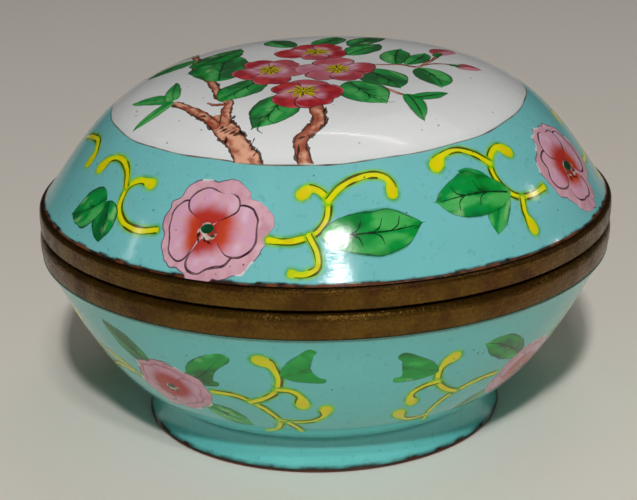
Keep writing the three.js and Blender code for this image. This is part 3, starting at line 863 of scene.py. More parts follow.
def cut_disc(R, painting, fine, coarse, extra=()):
    """Triangles of the disc of radius R with every painted outline cut in."""
    a = 2 * np.pi * np.arange(SEGS) / SEGS
    rim = R * np.stack([np.sin(a), -np.cos(a)], 1)
    pts, edges, count = [rim], [np.stack([np.arange(SEGS), (np.arange(SEGS) + 1) % SEGS], 1)], SEGS
    R_in = R - 0.12
    for outline, *_ in painting.layers:
        q = outline
        rr = np.hypot(q[:, 0], q[:, 1])
        q = np.where((rr > R_in)[:, None], q * (R_in / np.maximum(rr, 1e-9))[:, None], q)
        n = len(q)
        pts.append(q)
        edges.append(np.stack([count + np.arange(n), count + (np.arange(n) + 1) % n], 1))
        count += n
    for ring in extra:
        pts.append(ring)
        edges.append(np.stack([count + np.arange(len(ring)), count + (np.arange(len(ring)) + 1) % len(ring)], 1))
        count += len(ring)
    # fill: fine where painted, coarse on the bare ground
    f = hex_points(R, fine)
    f = f[np.hypot(f[:, 0], f[:, 1]) < R - 0.35]
    painted = np.zeros(len(f), bool)
    for outline, pig, wash, cut, place, relief in painting.layers:
        if wash < 0.5:
            continue
        lo, hi = outline.min(0), outline.max(0)
        k = np.where((~painted) & (f > lo).all(1) & (f < hi).all(1))[0]
        if len(k):
            painted[k[inside(f[k], outline)]] = True
    g = hex_points(R, coarse)
    g = g[np.hypot(g[:, 0], g[:, 1]) < R - 0.5]
    fill = np.vstack([f[painted], g])
    allp = np.vstack(pts + [fill])
    alle = np.vstack(edges)
    v, e, t, *_ = delaunay_2d_cdt([Vector((float(x), float(y))) for x, y in allp], [(int(i), int(j)) for i, j in alle], [], 0, 1e-4)
    v = np.array([(p.x, p.y) for p in v], float)
    t = np.array([q for q in t if len(q) == 3], int)
    area = 0.5 * np.cross(v[t[:, 1]] - v[t[:, 0]], v[t[:, 2]] - v[t[:, 0]])
    t = np.where((area < 0)[:, None], t[:, ::-1], t)[np.abs(area) > 1e-9]
    return v, t


def bake_paint(v, t, painting, ground, deep=0.0):
    """Colour and ground share of each face corner. ground(P) gives the bare enamel's colour."""
    cen = v[t].mean(1)
    corner = (v[t] * 0.96 + cen[:, None] * 0.04).reshape(-1, 2)
    col = ground(corner)
    bare = np.ones(len(corner))
    for outline, pigment, wash, cut, place, relief in painting.layers:
        lo, hi = outline.min(0), outline.max(0)
        k = np.where((cen >= lo).all(1) & (cen <= hi).all(1))[0]
        if not len(k):
            continue
        k = k[inside(cen[k], outline)]
        if not len(k):
            continue
        k = (k[:, None] * 3 + np.arange(3)).ravel()
        c, a = pigment(place.back(corner[k]))
        a = np.clip(np.asarray(a, float), 0, 1)
        col[k] = col[k] * (1 - a[:, None]) + c * a[:, None]
        bare[k] = bare[k] * (1 - a)
    if deep:                                                  # painted colours a little deeper than the ground
        grey = col.mean(1, keepdims=True)
        rich = np.clip(grey + (col - grey) * (1 + deep), 0.004, 0.93) * (1 - 0.35 * deep)
        col = mix(rich, col, smooth(0.2, 0.7, bare))
    return col, bare


def strip_quads(a0, b0):
    i = np.arange(SEGS)
    j = (i + 1) % SEGS
    return np.concatenate([np.stack([a0 + i, b0 + i, b0 + j], 1), np.stack([a0 + i, b0 + j, a0 + j], 1)])


def profile_normals(prof, closed):
    p = np.asarray(prof, float)
    n = len(p)
    out = np.zeros((n, 2))
    for i in range(n):
        a = p[(i - 1) % n] if closed or i > 0 else p[i]
        b = p[(i + 1) % n] if closed or i < n - 1 else p[i]
        d = b - a
        out[i] = (d[1], -d[0])
    out /= np.maximum(np.hypot(out[:, 0], out[:, 1]), 1e-9)[:, None]
    return out


def to_mesh(name, co, tri, normals, colors, aux, uv=None):
    co = askew(co)
    nrm = np.array(normals, float)
    nrm[:, 2] -= LEAN * nrm[:, 0]
    nrm /= np.maximum(np.linalg.norm(nrm, axis=1), 1e-9)[:, None]
    me = bpy.data.meshes.new(name)
    me.vertices.add(len(co))
    me.vertices.foreach_set("co", (co * MM).astype(np.float32).ravel())
    me.loops.add(len(tri) * 3)
    me.loops.foreach_set("vertex_index", tri.astype(np.int32).ravel())
    me.polygons.add(len(tri))
    me.polygons.foreach_set("loop_start", (np.arange(len(tri)) * 3).astype(np.int32))
    me.update(calc_edges=True)
    me.validate()
    for key, val in (("paint", colors), ("aux", aux)):
        at = me.color_attributes.new(key, "FLOAT_COLOR", "CORNER")
        data = np.ones((len(tri) * 3, 4), np.float32)
        data[:, :val.shape[1]] = val
        at.data.foreach_set("color", data.ravel())
    if uv is not None:
        layer = me.uv_layers.new(name="OFBake")
        layer.data.foreach_set("uv", uv.astype(np.float32).ravel())
    me.polygons.foreach_set("use_smooth", np.ones(len(tri), bool))
    me.normals_split_custom_set_from_vertices([tuple(n) for n in nrm])
    ob = bpy.data.objects.new(name, me)
    bpy.context.scene.collection.objects.link(ob)
    return ob


def wall_piece(name, curve, painting, ground, inner_color, edge_profile, inner_profile, up, fine, coarse, extra=()):
    """A painted outer skin, a rounded edge and a plain inner skin, closed into one body."""
    v, t = cut_disc(curve.length, painting, fine, coarse, extra)
    col, bare = bake_paint(v, t, painting, ground, 0.28 if not up else 0.06)
    rho = np.hypot(v[:, 0], v[:, 1])
    u = v / np.maximum(rho, 1e-9)[:, None]
    r, z = curve.at(np.minimum(rho, curve.length))
    nr, nz = curve.normal(np.minimum(rho, curve.length))
    sign = 1.0 if up else -1.0
    co = [np.column_stack([u * r[:, None], z])]
    nm = [np.column_stack([u * (nr * sign)[:, None], nz * sign])]
    tri = [t if up else t[:, ::-1]]
    if not up:
        col = col.reshape(-1, 3, 3)[:, ::-1].reshape(-1, 3)
        bare = bare.reshape(-1, 3)[:, ::-1].ravel()
    # find the rim vertices in angular order
    rim_id = np.where(rho > curve.length - 1e-3)[0]
    ang = np.arctan2(v[rim_id, 0], -v[rim_id, 1]) % (2 * np.pi)
    ang = np.where(ang > 2 * np.pi - 1e-4, ang - 2 * np.pi, ang)
    rim_id = rim_id[np.argsort(ang)]
    if len(rim_id) != SEGS:
        raise RuntimeError("rim of %s has %d points" % (name, len(rim_id)))
    count = len(v)
    prof = list(edge_profile) + list(inner_profile)
    p_all = [(curve.r[-1], curve.z[-1])] + prof
    pn = profile_normals(p_all, False)
    if not up:
        pn = -pn
    a = 2 * np.pi * np.arange(SEGS) / SEGS
    uu = np.stack([np.sin(a), -np.cos(a)], 1)
    n_edge = len(edge_profile)
    tri_side, side_col, side_uv = [], [], []
    prev = rim_id
    prev_rz = p_all[0]
    for k, (rr, zz) in enumerate(prof):
        if rr < 1e-6:
            co.append(np.array([[0.0, 0.0, zz]]))
            nm.append(np.array([[0.0, 0.0, -1.0 if up else 1.0]]))
            i = np.arange(SEGS)
            f = np.stack([prev, np.full(SEGS, count), prev[(i + 1) % SEGS]], 1)
            count += 1
        else:
            co.append(np.column_stack([uu * rr, np.full(SEGS, zz)]))
            nm.append(np.column_stack([uu * pn[k + 1][0], np.full(SEGS, pn[k + 1][1])]))
            cur = count + np.arange(SEGS)
            i = np.arange(SEGS)
            j = (i + 1) % SEGS
            f = np.concatenate([np.stack([prev, cur, cur[j]], 1), np.stack([prev, cur[j], prev[j]], 1)])
            prev = cur
            count += SEGS
        f = f[:, ::-1] if up else f
        tri_side.append(f)
        c = inner_color(k, n_edge)
        side_col.append(np.broadcast_to(np.asarray(c, float), (len(f) * 3, 3)))
    co, nm = np.vstack(co), np.vstack(nm)
    tri.append(np.vstack(tri_side))
    tri = np.vstack(tri)
    n_outer = len(t) * 3
    colors = np.vstack([col] + side_col)
    aux = np.zeros((len(colors), 4))
    aux[:, 0] = 1.0
    aux[:n_outer, 0] = bare
    aux[n_outer:, 1] = 1.0
    aux[:, 3] = 1.0
    # bake map: the outer skin fills the square as a disc, the rest sits small in a corner
    uv = np.zeros((len(tri) * 3, 2))
    vv = np.vstack([v, np.zeros((len(co) - len(v), 2))])
    s = 0.4975 / curve.length
    idx = tri.ravel()
    uv[:n_outer] = vv[idx[:n_outer]] * s + 0.5
    side_r = np.hypot(co[:, 0], co[:, 1])
    zs = co[:, 2]
    small = 0.070
    total = 0.0
    # length along the side profile, from the inner pole outwards
    path = [0.0]
    pr = p_all
    for k in range(1, len(pr)):
        path.append(path[-1] + math.hypot(pr[k][0] - pr[k - 1][0], pr[k][1] - pr[k - 1][1]))
    L = path[-1]
    vert_len = np.zeros(len(co))
    vert_u = np.zeros((len(co), 2))
    vert_len[rim_id] = 0.0
    vert_u[rim_id] = uu
    base = len(v)
    for k, (rr, zz) in enumerate(prof):
        m = 1 if rr < 1e-6 else SEGS
        vert_len[base:base + m] = path[k + 1]
        vert_u[base:base + m] = uu if m == SEGS else 0.0
        base += m
    q = vert_u * (1 - vert_len / L)[:, None] * small
    uv[n_outer:] = q[idx[n_outer:]] + np.array([0.073, 0.073])
    return to_mesh(name, co, tri, nm, colors, aux, uv)


def lathe_piece(name, prof, color, aux_of):
    """A closed ring from a profile that runs anticlockwise in the (r, z) plane."""
    prof = np.asarray(prof, float)
    n = len(prof)
    area = np.sum(prof[:, 0] * np.roll(prof[:, 1], -1) - np.roll(prof[:, 0], -1) * prof[:, 1])
    if area < 0:
        prof = prof[::-1]
    pn = profile_normals(prof, True)
    a = 2 * np.pi * np.arange(SEGS) / SEGS
    uu = np.stack([np.sin(a), -np.cos(a)], 1)
    co = np.vstack([np.column_stack([uu * r, np.full(SEGS, z)]) for r, z in prof])
    nm = np.vstack([np.column_stack([uu * q[0], np.full(SEGS, q[1])]) for q in pn])
    i = np.arange(SEGS)
    j = (i + 1) % SEGS
    tri = []
    for k in range(n):
        A, B = k * SEGS, ((k + 1) % n) * SEGS
        tri += [np.stack([A + i, A + j, B + j], 1), np.stack([A + i, B + j, B + i], 1)]
    tri = np.vstack(tri)
    path = np.concatenate([[0], np.cumsum(np.hypot(*np.diff(np.vstack([prof, prof[:1]]), axis=0).T))])
    ring = np.repeat(np.arange(n), SEGS)
    P = np.column_stack([np.degrees(np.arctan2(co[:, 0], -co[:, 1])), prof[ring, 1], prof[ring, 0], path[ring]])
    # each face corner: same values as its vertex
    c, x = color(P), aux_of(P)
    idx = tri.ravel()
    colors, aux = c[idx], x[idx]
    # bake map: the ring is cut into eight lengths, laid as rows
    rows = 8
    seg = np.tile(np.concatenate([np.tile(i, 2)]), n).reshape(-1)
    face_seg = np.concatenate([np.concatenate([i, i]) for _ in range(n)])
    face_k = np.concatenate([np.full(2 * SEGS, k) for k in range(n)])
    row = face_seg * rows // SEGS
    per = SEGS // rows
    uv = np.zeros((len(tri), 3, 2))
    vid = tri
    vseg = vid % SEGS
    local = (vseg - row[:, None] * per) % SEGS
    vk = vid // SEGS
    pk = np.where((face_k[:, None] == n - 1) & (vk == 0), path[-1], path[vk])
    uv[:, :, 0] = 0.01 + 0.98 * local / per
    uv[:, :, 1] = (row[:, None] + 0.04 + 0.92 * pk / path[-1]) / rows
    return to_mesh(name, co, tri, nm, colors, aux, uv.reshape(-1, 2))


def offset_profile(curve, off, count, power, edge_z, up):
    """Inner skin: the curve moved in by the wall, from the edge to the pole."""
    s = curve.length * (1 - (1 - np.linspace(0, 1, count)) ** power)
    r, z = curve.at(s)
    nr, nz = curve.normal(s)
    q = np.stack([r - off * nr, z - off * nz], 1) if up else np.stack([r + off * nr, z + off * nz], 1)
    q[0, 0] = 0.0
    ok = q[:, 1] > edge_z + 0.25 if up else q[:, 1] < edge_z - 0.25
    q = q[ok]
    return [tuple(p) for p in q[::-1]]


# ---- paints for the bare grounds
TURQ = rgb(108, 179, 181)
TURQ_LOW = rgb(98, 179, 176)
COPPER_BURNT, COPPER = rgb(40, 24, 20), rgb(112, 62, 40)


def ground_color(P, base, seed):
    n = fbm(P, 11.0, seed)
    m = fbm(P, 3.2, seed + 9)
    c = mix(base * 0.95, base * 1.05, n)
    return mix(c, base * np.array([0.92, 1.0, 0.97]), smooth(0.55, 0.85, m) * 0.5)


def edge_of(P, R, seed, depth, wide):
    """How far inside the ragged edge of the enamel a point lies, in mm (negative is bare metal)."""
    rho = np.hypot(P[:, 0], P[:, 1])
    a = np.arctan2(P[:, 0], -P[:, 1])
    q = np.stack([np.cos(a), np.sin(a)], 1) * R
    return (R - rho) - depth - wide * (fbm(q, 3.0, seed) - 0.5) * 2 - 0.35 * wide * (noise(q, 0.8, seed + 5) - 0.5)


def lid_ground(P):
    c = ground_color(P, TURQ, 21)
    e = edge_of(P, DOME.length, 31, 0.46, 0.30)
    a = np.arctan2(P[:, 0], -P[:, 1])
    q = np.stack([np.cos(a), np.sin(a)], 1) * DOME.length
    burnt = smooth(0.35, 0.6, noise(q, 2.6, 35))
    c = mix(c, rgb(44, 96, 90), smooth(0.26, 0.05, e) * 0.55)
    c = mix(c, rgb(18, 14, 12), smooth(0.15, 0.06, e) * (0.6 + 0.4 * burnt))
    red = mix(rgb(104, 56, 30), rgb(46, 30, 20), smooth(0.3, 0.7, noise(q, 1.7, 37)))
    return mix(c, red, smooth(0.02, -0.16, e) * (1 - 0.35 * burnt))


def bowl_ground(P):
    c = ground_color(P, TURQ_LOW, 41)
    e = edge_of(P, BOWL.length, 51, 0.12, 0.10)
    # painted shadow: the enamel just below the overhanging brass band is darkened to dark teal
    c = mix(c, rgb(70, 116, 104), smooth(0.55, 0.05, e) * 0.55)
    c = mix(c, rgb(60, 60, 48), smooth(0.04, 0.0, e) * 0.6)
    rho = np.hypot(P[:, 0], P[:, 1])
    ring = np.abs(rho - 30.4)
    c = mix(c, rgb(38, 84, 74), smooth(0.9, 0.1, ring) * 0.2)       # painted shade: a soft dark ring where the foot joins
    inner = smooth(29.0, 27.5, rho)
    return mix(c, c * 0.9, inner)


def edge_rings(R, rows):
    a = np.radians(np.arange(0, 360, 0.5))
    return [(R - d) * np.stack([np.sin(a + 0.004), -np.cos(a + 0.004)], 1) for d in rows]


lid_paint = paint_lid()
z0 = DOME_Z
lid_edge = [(49.05, z0 - 0.10), (48.85, z0 - 0.18), (48.3, z0 - 0.20), (47.9, z0 - 0.20)]
lid_inner = offset_profile(DOME, WALL, 18, 1.4, z0, True)
lid = wall_piece("lid_enamel", DOME, lid_paint, lid_ground,
                 lambda k, n: rgb(60, 36, 24) if k <= n - 1 else rgb(104, 172, 166),
                 lid_edge, lid_inner, True, 0.50, 1.25, edge_rings(DOME.length, (0.14, 0.34, 0.6, 0.9)))
bowl_paint = paint_bowl()
z1 = BOWL_Z
bowl_edge = [(49.6, z1 + 0.10), (49.4, z1 + 0.16), (48.9, z1 + 0.18), (48.5, z1 + 0.18)]
bowl_inner = offset_profile(BOWL, WALL, 28, 1.4, z1, False)
# painted shade: the bowl's top edge, in the crevice under the brass band, is coloured dark teal
bowl = wall_piece("bowl_enamel", BOWL, bowl_paint, bowl_ground,
                  lambda k, n: rgb(84, 130, 118) if k <= n - 1 else rgb(104, 172, 166),
                  bowl_edge, bowl_inner, False, 0.52, 1.25, edge_rings(BOWL.length, (0.14, 0.32, 0.6, 0.9)))


def arc(cx, cz, r, a0, a1, n):
    return [(cx + r * math.cos(math.radians(a)), cz + r * math.sin(math.radians(a))) for a in np.linspace(a0, a1, n)]


# ---- brass bands
lid_band_profile = ([(46.95, 39.75), (46.95, 38.9), (46.95, 37.6), (46.95, 36.6), (47.1, 36.40), (47.6, 36.36), (48.6, 36.36), (49.3, 36.36)]
                    + arc(49.42, 36.86, 0.5, -80, -6, 7) + [(49.96, 37.3), (50.0, 38.0), (49.97, 38.8)]
                    + arc(49.30, 39.20, 0.66, 4, 78, 8) + [(49.2, 39.93), (48.8, 39.96), (48.0, 39.96), (47.3, 39.93)])
bowl_band_profile = ([(45.7, 31.6), (46.2, 31.45), (48.5, 31.45), (49.5, 31.47), (49.68, 31.6), (49.8, 32.1), (49.92, 32.8), (49.99, 33.6), (50.0, 34.3)]
                     + arc(48.45, 34.42, 1.55, 4, 84, 12) + [(48.0, 35.98), (47.3, 36.0), (46.75, 36.02), (46.6, 36.2), (46.6, 37.4), (46.6, 38.8)]
                     + arc(46.15, 39.05, 0.45, 8, 172, 7) + [(45.7, 38.8), (45.7, 37.4), (45.7, 35.6), (45.7, 33.6)])


def brass_color(P):
    q = np.stack([P[:, 0] * 0.87, P[:, 1] * 2.0], 1)
    c = mix(rgb(106, 79, 26), rgb(88, 62, 17), fbm(q, 6.0, 61))
    c = mix(c, rgb(84, 44, 26), smooth(0.62, 0.85, fbm(q * np.array([1.0, 0.6]), 3.4, 67)) * 0.6)
    return c


def band_aux(lo, hi):
    def f(P):
        a = np.zeros((len(P), 4))
        a[:, 0] = 1
        a[:, 2] = np.clip((P[:, 1] - lo) / (hi - lo), 0, 1)
        a[:, 3] = 1
        return a
    return f


lid_band = lathe_piece("lid_band", lid_band_profile, brass_color, band_aux(36.3, 39.9))
bowl_band = lathe_piece("bowl_band", bowl_band_profile, brass_color, band_aux(31.4, 36.0))

# ---- foot
foot_profile = ([(30.25, 0.02), (30.9, 0.0), (31.35, 0.02)] + arc(31.42, 0.2, 0.18, -70, 30, 5)
                + [(31.52, 0.42), (31.36, 0.72), (31.12, 1.15), (30.86, 1.65), (30.62, 2.2), (30.4, 2.8), (30.22, 3.45), (30.1, 4.1), (30.03, 4.7), (30.02, float(bowl_z(30.02)) + 0.03)]
                + [(29.7, float(bowl_z(29.7)) - 0.14), (29.1, float(bowl_z(29.1)) - 0.14), (28.65, float(bowl_z(28.65)) - 0.2)]
                + [(28.56, 4.0), (28.62, 3.2), (28.86, 2.4), (29.35, 1.5), (29.85, 0.7), (30.1, 0.25)])


def foot_color(P):
    th, z, r, s = P[:, 0], P[:, 1], P[:, 2], P[:, 3]
    q = np.stack([np.radians(th) * 31, z], 1)
    base = mix(rgb(102, 188, 186), rgb(94, 180, 178), fbm(q, 7, 71))
    e = z - 0.55 - 0.22 * (fbm(q, 2.6, 73) - 0.5) * 2
    c = mix(base, rgb(52, 108, 98), smooth(0.8, 0.1, e) * 0.55)
    c = mix(c, COPPER_BURNT, smooth(0.28, 0.06, e))
    c = mix(c, COPPER * 0.55, smooth(-0.16, -0.34, e))
    # painted shade: the foot's top, where it meets the bowl, is darkened
    return mix(c, rgb(60, 116, 106), smooth(4.9, 5.3, z) * 0.3)


def foot_aux(P):
    a = np.zeros((len(P), 4))
    a[:, 0] = 1
    a[:, 3] = 1
    return a


foot = lathe_piece("foot", foot_profile, foot_color, foot_aux)

for piece, node, slot in ((lid, "lid_dome", "dome_enamel"), (lid_band, "lid_rim", "rim_brass"), (bowl_band, "bowl_rim", "rim_brass"),
                          (bowl, "bowl", "bowl_enamel"), (foot, "foot_ring", "foot_enamel")):
    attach(piece, "root")
    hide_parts(node)


# ------------------------------------------------------------------------------------------------
# Materials
# ------------------------------------------------------------------------------------------------
class Nodes:
    def __init__(self, name):
        self.mat = bpy.data.materials.new(name)
        self.mat.use_nodes = True
        self.nt = self.mat.node_tree
        self.nt.nodes.clear()
        self.out = self.nt.nodes.new("ShaderNodeOutputMaterial")
        self.bsdf = self.nt.nodes.new("ShaderNodeBsdfPrincipled")
        self.nt.links.new(self.bsdf.outputs[0], self.out.inputs[0])

    def new(self, kind, **kw):
        n = self.nt.nodes.new(kind)
        for k, v in kw.items():
            setattr(n, k, v)
        return n

    def link(self, a, b):
        self.nt.links.new(a, b)

    def noise(self, coord, scale, detail=3.0, rough=0.5, lo=None, hi=None):
        n = self.new("ShaderNodeTexNoise")
        n.inputs["Scale"].default_value = scale
        n.inputs["Detail"].default_value = detail
        n.inputs["Roughness"].default_value = rough
        self.link(coord, n.inputs["Vector"])
        o = n.outputs["Fac"]
        if lo is not None:
            o = self.remap(o, lo, hi, 0.0, 1.0)
        return o

    def remap(self, x, a, b, c, d):
        n = self.new("ShaderNodeMapRange", interpolation_type="SMOOTHSTEP" if c in (0.0, 1.0) and d in (0.0, 1.0) else "LINEAR")
        for k, v in zip(("From Min", "From Max", "To Min", "To Max"), (a, b, c, d)):
            n.inputs[k].default_value = v
        self.link(x, n.inputs["Value"])
        return n.outputs[0]

    def math(self, op, a, b=None):
        n = self.new("ShaderNodeMath", operation=op)
        for k, x in enumerate((a, b)):
            if x is None:
                continue
            if isinstance(x, (int, float)):
                n.inputs[k].default_value = x
            else:
                self.link(x, n.inputs[k])
        return n.outputs[0]

    def mix(self, fac, a, b, blend="MIX"):
        n = self.new("ShaderNodeMix", data_type="RGBA", blend_type=blend)
        for sock, x in ((n.inputs[0], fac), (n.inputs[6], a), (n.inputs[7], b)):
            if isinstance(x, (int, float)):
                sock.default_value = x
            elif isinstance(x, (tuple, list, np.ndarray)):
                sock.default_value = tuple(float(q) for q in x) + (1.0,) * (4 - len(x))
            else:
                self.link(x, sock)
        return n.outputs[2]

    def bump(self, height, strength, distance, normal=None):
        n = self.new("ShaderNodeBump")
        n.inputs["Strength"].default_value = strength
        n.inputs["Distance"].default_value = distance
        self.link(height, n.inputs["Height"])
        if normal is not None:
            self.link(normal, n.inputs["Normal"])
        return n.outputs[0]


def enamel_material(name, seed):
    m = Nodes(name)
    paint = m.new("ShaderNodeVertexColor", layer_name="paint")
    aux = m.new("ShaderNodeVertexColor", layer_name="aux")
    sep = m.new("ShaderNodeSeparateColor")
    m.link(aux.outputs["Color"], sep.inputs[0])
    bare = sep.outputs[0]
    co = m.new("ShaderNodeTexCoord").outputs["Object"]
    # cloudy ground, darker specks, small pits
    cloud = m.noise(co, 60 + seed, 4, 0.55, 0.36, 0.66)
    speck = m.noise(co, 900 + 7 * seed, 2, 0.5, 0.60, 0.72)
    grain = m.noise(co, 2200, 2, 0.6, 0.3, 0.7)
    col = m.mix(m.math("MULTIPLY", cloud, 0.16), paint.outputs["Color"], (0.86, 0.95, 0.93), "MULTIPLY")
    col = m.mix(m.math("MULTIPLY", m.math("MULTIPLY", speck, bare), 0.30), col, (0.45, 0.62, 0.60), "MULTIPLY")
    col = m.mix(m.math("MULTIPLY", grain, 0.10), col, (0.72, 0.74, 0.74), "MULTIPLY")
    pits = m.new("ShaderNodeTexVoronoi")
    pits.inputs["Scale"].default_value = 520.0
    m.link(co, pits.inputs["Vector"])
    pit = m.remap(pits.outputs["Distance"], 0.13, 0.05, 0.0, 1.0)
    few = m.noise(co, 420, 2, 0.5, 0.50, 0.62)
    pit = m.math("MULTIPLY", pit, few)
    col = m.mix(m.math("MULTIPLY", pit, 0.8), col, (0.16, 0.17, 0.16), "MULTIPLY")
    m.link(col, m.bsdf.inputs["Base Color"])
    rough = m.remap(m.noise(co, 180, 3, 0.5), 0.3, 0.7, 0.08, 0.17)
    m.link(rough, m.bsdf.inputs["Roughness"])
    wavy = m.noise(co, 95, 2, 0.5)
    orange = m.noise(co, 480, 2, 0.5)
    h = m.math("ADD", m.math("MULTIPLY", wavy, 0.8), m.math("MULTIPLY", orange, 0.14))
    h = m.math("SUBTRACT", h, m.math("MULTIPLY", pit, 0.35))
    run = m.new("ShaderNodeMapping")
    run.inputs["Scale"].default_value = (1.0, 1.0, 4.0)
    run.inputs["Rotation"].default_value = (0.0, 0.25, 0.0)
    m.link(co, run.inputs["Vector"])
    worn = m.math("MULTIPLY", m.noise(run.outputs[0], 700, 3, 0.65), m.noise(co, 85, 2, 0.5, 0.46, 0.60))
    h = m.math("ADD", h, m.math("MULTIPLY", worn, 0.12))
    m.link(m.bump(h, 0.35, 0.0004), m.bsdf.inputs["Normal"])
    m.bsdf.inputs["Specular IOR Level"].default_value = 0.5
    m.bsdf.inputs["IOR"].default_value = 1.52
    return m.mat


def brass_material(name):
    m = Nodes(name)
    paint = m.new("ShaderNodeVertexColor", layer_name="paint")
    aux = m.new("ShaderNodeVertexColor", layer_name="aux")
    sep = m.new("ShaderNodeSeparateColor")
    m.link(aux.outputs["Color"], sep.inputs[0])
    high = sep.outputs[2]
    co = m.new("ShaderNodeTexCoord").outputs["Object"]
    mp = m.new("ShaderNodeMapping")
    mp.inputs["Scale"].default_value = (1.0, 1.0, 5.0)
    m.link(co, mp.inputs["Vector"])
    flat = mp.outputs[0]
    stain = m.noise(co, 160, 5, 0.6, 0.42, 0.64)
    red = m.noise(co, 70, 4, 0.6, 0.50, 0.70)
    fine = m.noise(co, 1500, 3, 0.65, 0.35, 0.62)
    col = m.mix(m.math("MULTIPLY", stain, 0.55), paint.outputs["Color"], (0.42, 0.36, 0.28), "MULTIPLY")
    col = m.mix(m.math("MULTIPLY", red, 0.45), col, (0.80, 0.46, 0.30), "MULTIPLY")
    col = m.mix(m.math("MULTIPLY", fine, 0.42), col, (0.50, 0.48, 0.40), "MULTIPLY")
    # the band is darkened along its bottom and top edges
    low_edge_dark = m.remap(high, 0.12, 0.0, 0.0, 1.0)
    top_edge_dark = m.remap(high, 0.93, 1.0, 0.0, 1.0)
    edge = m.math("MAXIMUM", low_edge_dark, top_edge_dark)
    col = m.mix(m.math("MULTIPLY", edge, 0.55), col, (0.30, 0.20, 0.13), "MULTIPLY")
    m.link(col, m.bsdf.inputs["Base Color"])
    m.bsdf.inputs["Metallic"].default_value = 0.82
    rough = m.remap(m.math("ADD", m.math("MULTIPLY", stain, 0.6), m.math("MULTIPLY", fine, 0.4)), 0.0, 1.0, 0.20, 0.42)
    m.link(rough, m.bsdf.inputs["Roughness"])
    h = m.math("ADD", m.math("MULTIPLY", m.noise(flat, 420, 4, 0.6), 0.5), m.math("MULTIPLY", m.noise(co, 1900, 2, 0.6), 0.5))
    m.link(m.bump(h, 0.75, 0.00034), m.bsdf.inputs["Normal"])
    return m.mat


mat_lid = enamel_material("painted_enamel_lid", 0)
mat_bowl = enamel_material("painted_enamel_bowl", 3)
mat_foot = enamel_material("painted_enamel_foot", 5)
mat_brass = brass_material("aged_brass")
for piece, mat in ((lid, mat_lid), (bowl, mat_bowl), (foot, mat_foot), (lid_band, mat_brass), (bowl_band, mat_brass)):
    piece.data.materials.append(mat)


# ------------------------------------------------------------------------------------------------
# Floor, lights and camera
# ------------------------------------------------------------------------------------------------
def floor_and_light():
    me = bpy.data.meshes.new("floor")
    w = 2.2
    me.from_pydata([(-w, -w, -0.0001), (w, -w, -0.0001), (w, w, -0.0001), (-w, w, -0.0001)], [], [(0, 1, 2, 3)])
    floor = bpy.data.objects.new("floor", me)
    bpy.context.scene.collection.objects.link(floor)
    m = Nodes("pale_floor")
    co = m.new("ShaderNodeTexCoord").outputs["Object"]
    tone = m.noise(co, 9, 3, 0.5)
    m.link(m.mix(tone, FLOOR_A, FLOOR_B), m.bsdf.inputs["Base Color"])
    m.bsdf.inputs["Roughness"].default_value = 0.9
    m.bsdf.inputs["Specular IOR Level"].default_value = 0.1
    me.materials.append(m.mat)

    world = bpy.data.worlds.new("studio")
    bpy.context.scene.world = world
    world.use_nodes = True
    bg = world.node_tree.nodes["Background"]
    bg.inputs[0].default_value = (*WORLD_COLOR, 1)
    bg.inputs[1].default_value = WORLD

    aim = Vector((0, 0, 0.035))

    def soft(name, direction, dist, sx, sy, power, color=(1, 1, 1)):
        d = Vector(direction).normalized()
        li = bpy.data.lights.new(name, "AREA")
        li.shape = "RECTANGLE"
        li.size, li.size_y = sx, sy
        li.energy = power
        li.color = color
        ob = bpy.data.objects.new(name, li)
        ob.location = aim + d * dist
        ob.rotation_euler = (-d).to_track_quat("-Z", "Y").to_euler()
        bpy.context.scene.collection.objects.link(ob)
        ob.visible_glossy = name != "front_key"     # the key gives the shadows, the softbox the highlights
        return ob

    def way(az, el):
        a, e = math.radians(az), math.radians(el)
        return (math.sin(a) * math.cos(e), -math.cos(a) * math.cos(e), math.sin(e))

    for args in LIGHTS:
        name, az, el, dist, sx, sy, power, color = args
        soft(name, way(az, el), dist, sx, sy, power, color)


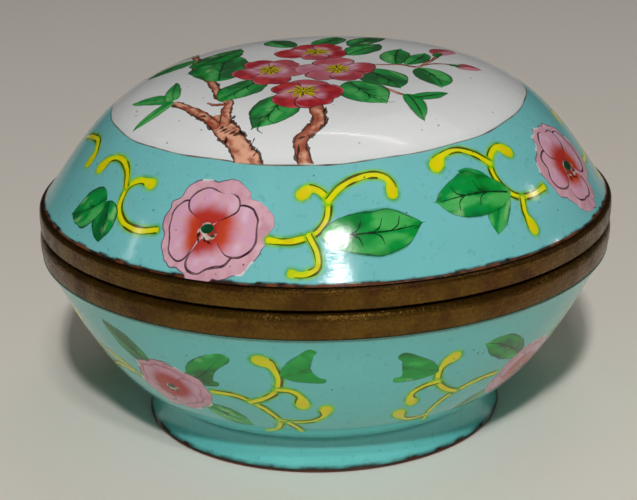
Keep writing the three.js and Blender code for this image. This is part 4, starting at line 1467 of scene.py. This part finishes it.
FLOOR_A, FLOOR_B = np.array([0.89, 0.835, 0.765]), np.array([0.91, 0.855, 0.785])
WORLD_COLOR, WORLD = (1.0, 0.97, 0.93), 0.02
WARM = (1.0, 0.985, 0.96)
FILL = (1.0, 0.955, 0.85)
LIGHTS = [
    ("front_key", 0.3, 43.4, 1.1, 0.06, 0.06, 5.45, (1.0, 0.99, 0.985)),
    ("front_softbox", 5.0, 49.2, 1.1, 0.10, 0.035, 1.7, (1.0, 0.99, 0.985)),
    ("front_low", 0, 20, 1.2, 1.0, 0.6, 0.3, FILL),
    ("front_left", -36, 14, 1.3, 0.8, 0.6, 0.16, FILL),
    ("front_right", 36, 14, 1.3, 0.8, 0.6, 0.36, FILL),
    ("left_high", -35, 52, 1.3, 0.8, 0.6, 0.12, FILL),
    ("right_lamp", 107, 24, 1.2, 0.04, 0.04, 0.12, WARM),
    ("left_lamp", -90, 29, 1.2, 0.05, 0.05, 0.07, WARM),
    ("back_high", 140, 62, 1.3, 0.8, 0.6, 0.70, FILL),
    ("ceiling", 0, 88, 1.3, 1.0, 1.0, 0.85, FILL),
    ("top_strip", 153, 70.5, 1.2, 0.54, 0.014, 0.30, WARM),
]
floor_and_light()


def add_camera():
    yaw, pitch, roll = -0.0040, 0.3495, -0.0238
    R = Vector((math.cos(yaw), -math.sin(yaw), 0))
    F = Vector((math.sin(yaw) * math.cos(pitch), math.cos(yaw) * math.cos(pitch), -math.sin(pitch)))
    U = R.cross(F)
    R2 = R * math.cos(roll) + U * math.sin(roll)
    U2 = -R * math.sin(roll) + U * math.cos(roll)
    m = Matrix.Identity(4)
    for k, v in enumerate((R2, U2, -F)):
        m[0][k], m[1][k], m[2][k] = v
    m[0][3], m[1][3], m[2][3] = 0.0, -0.3308, 0.14886
    cam = bpy.data.cameras.new("camera")
    cam.lens, cam.sensor_width, cam.sensor_fit = 111.73, 36.0, "HORIZONTAL"
    cam.clip_start, cam.clip_end = 0.01, 20
    cam.dof.use_dof = False
    ob = bpy.data.objects.new("camera", cam)
    ob.matrix_world = m
    bpy.context.scene.collection.objects.link(ob)
    bpy.context.scene.camera = ob


add_camera()
bpy.context.scene.view_settings.view_transform = "Standard"
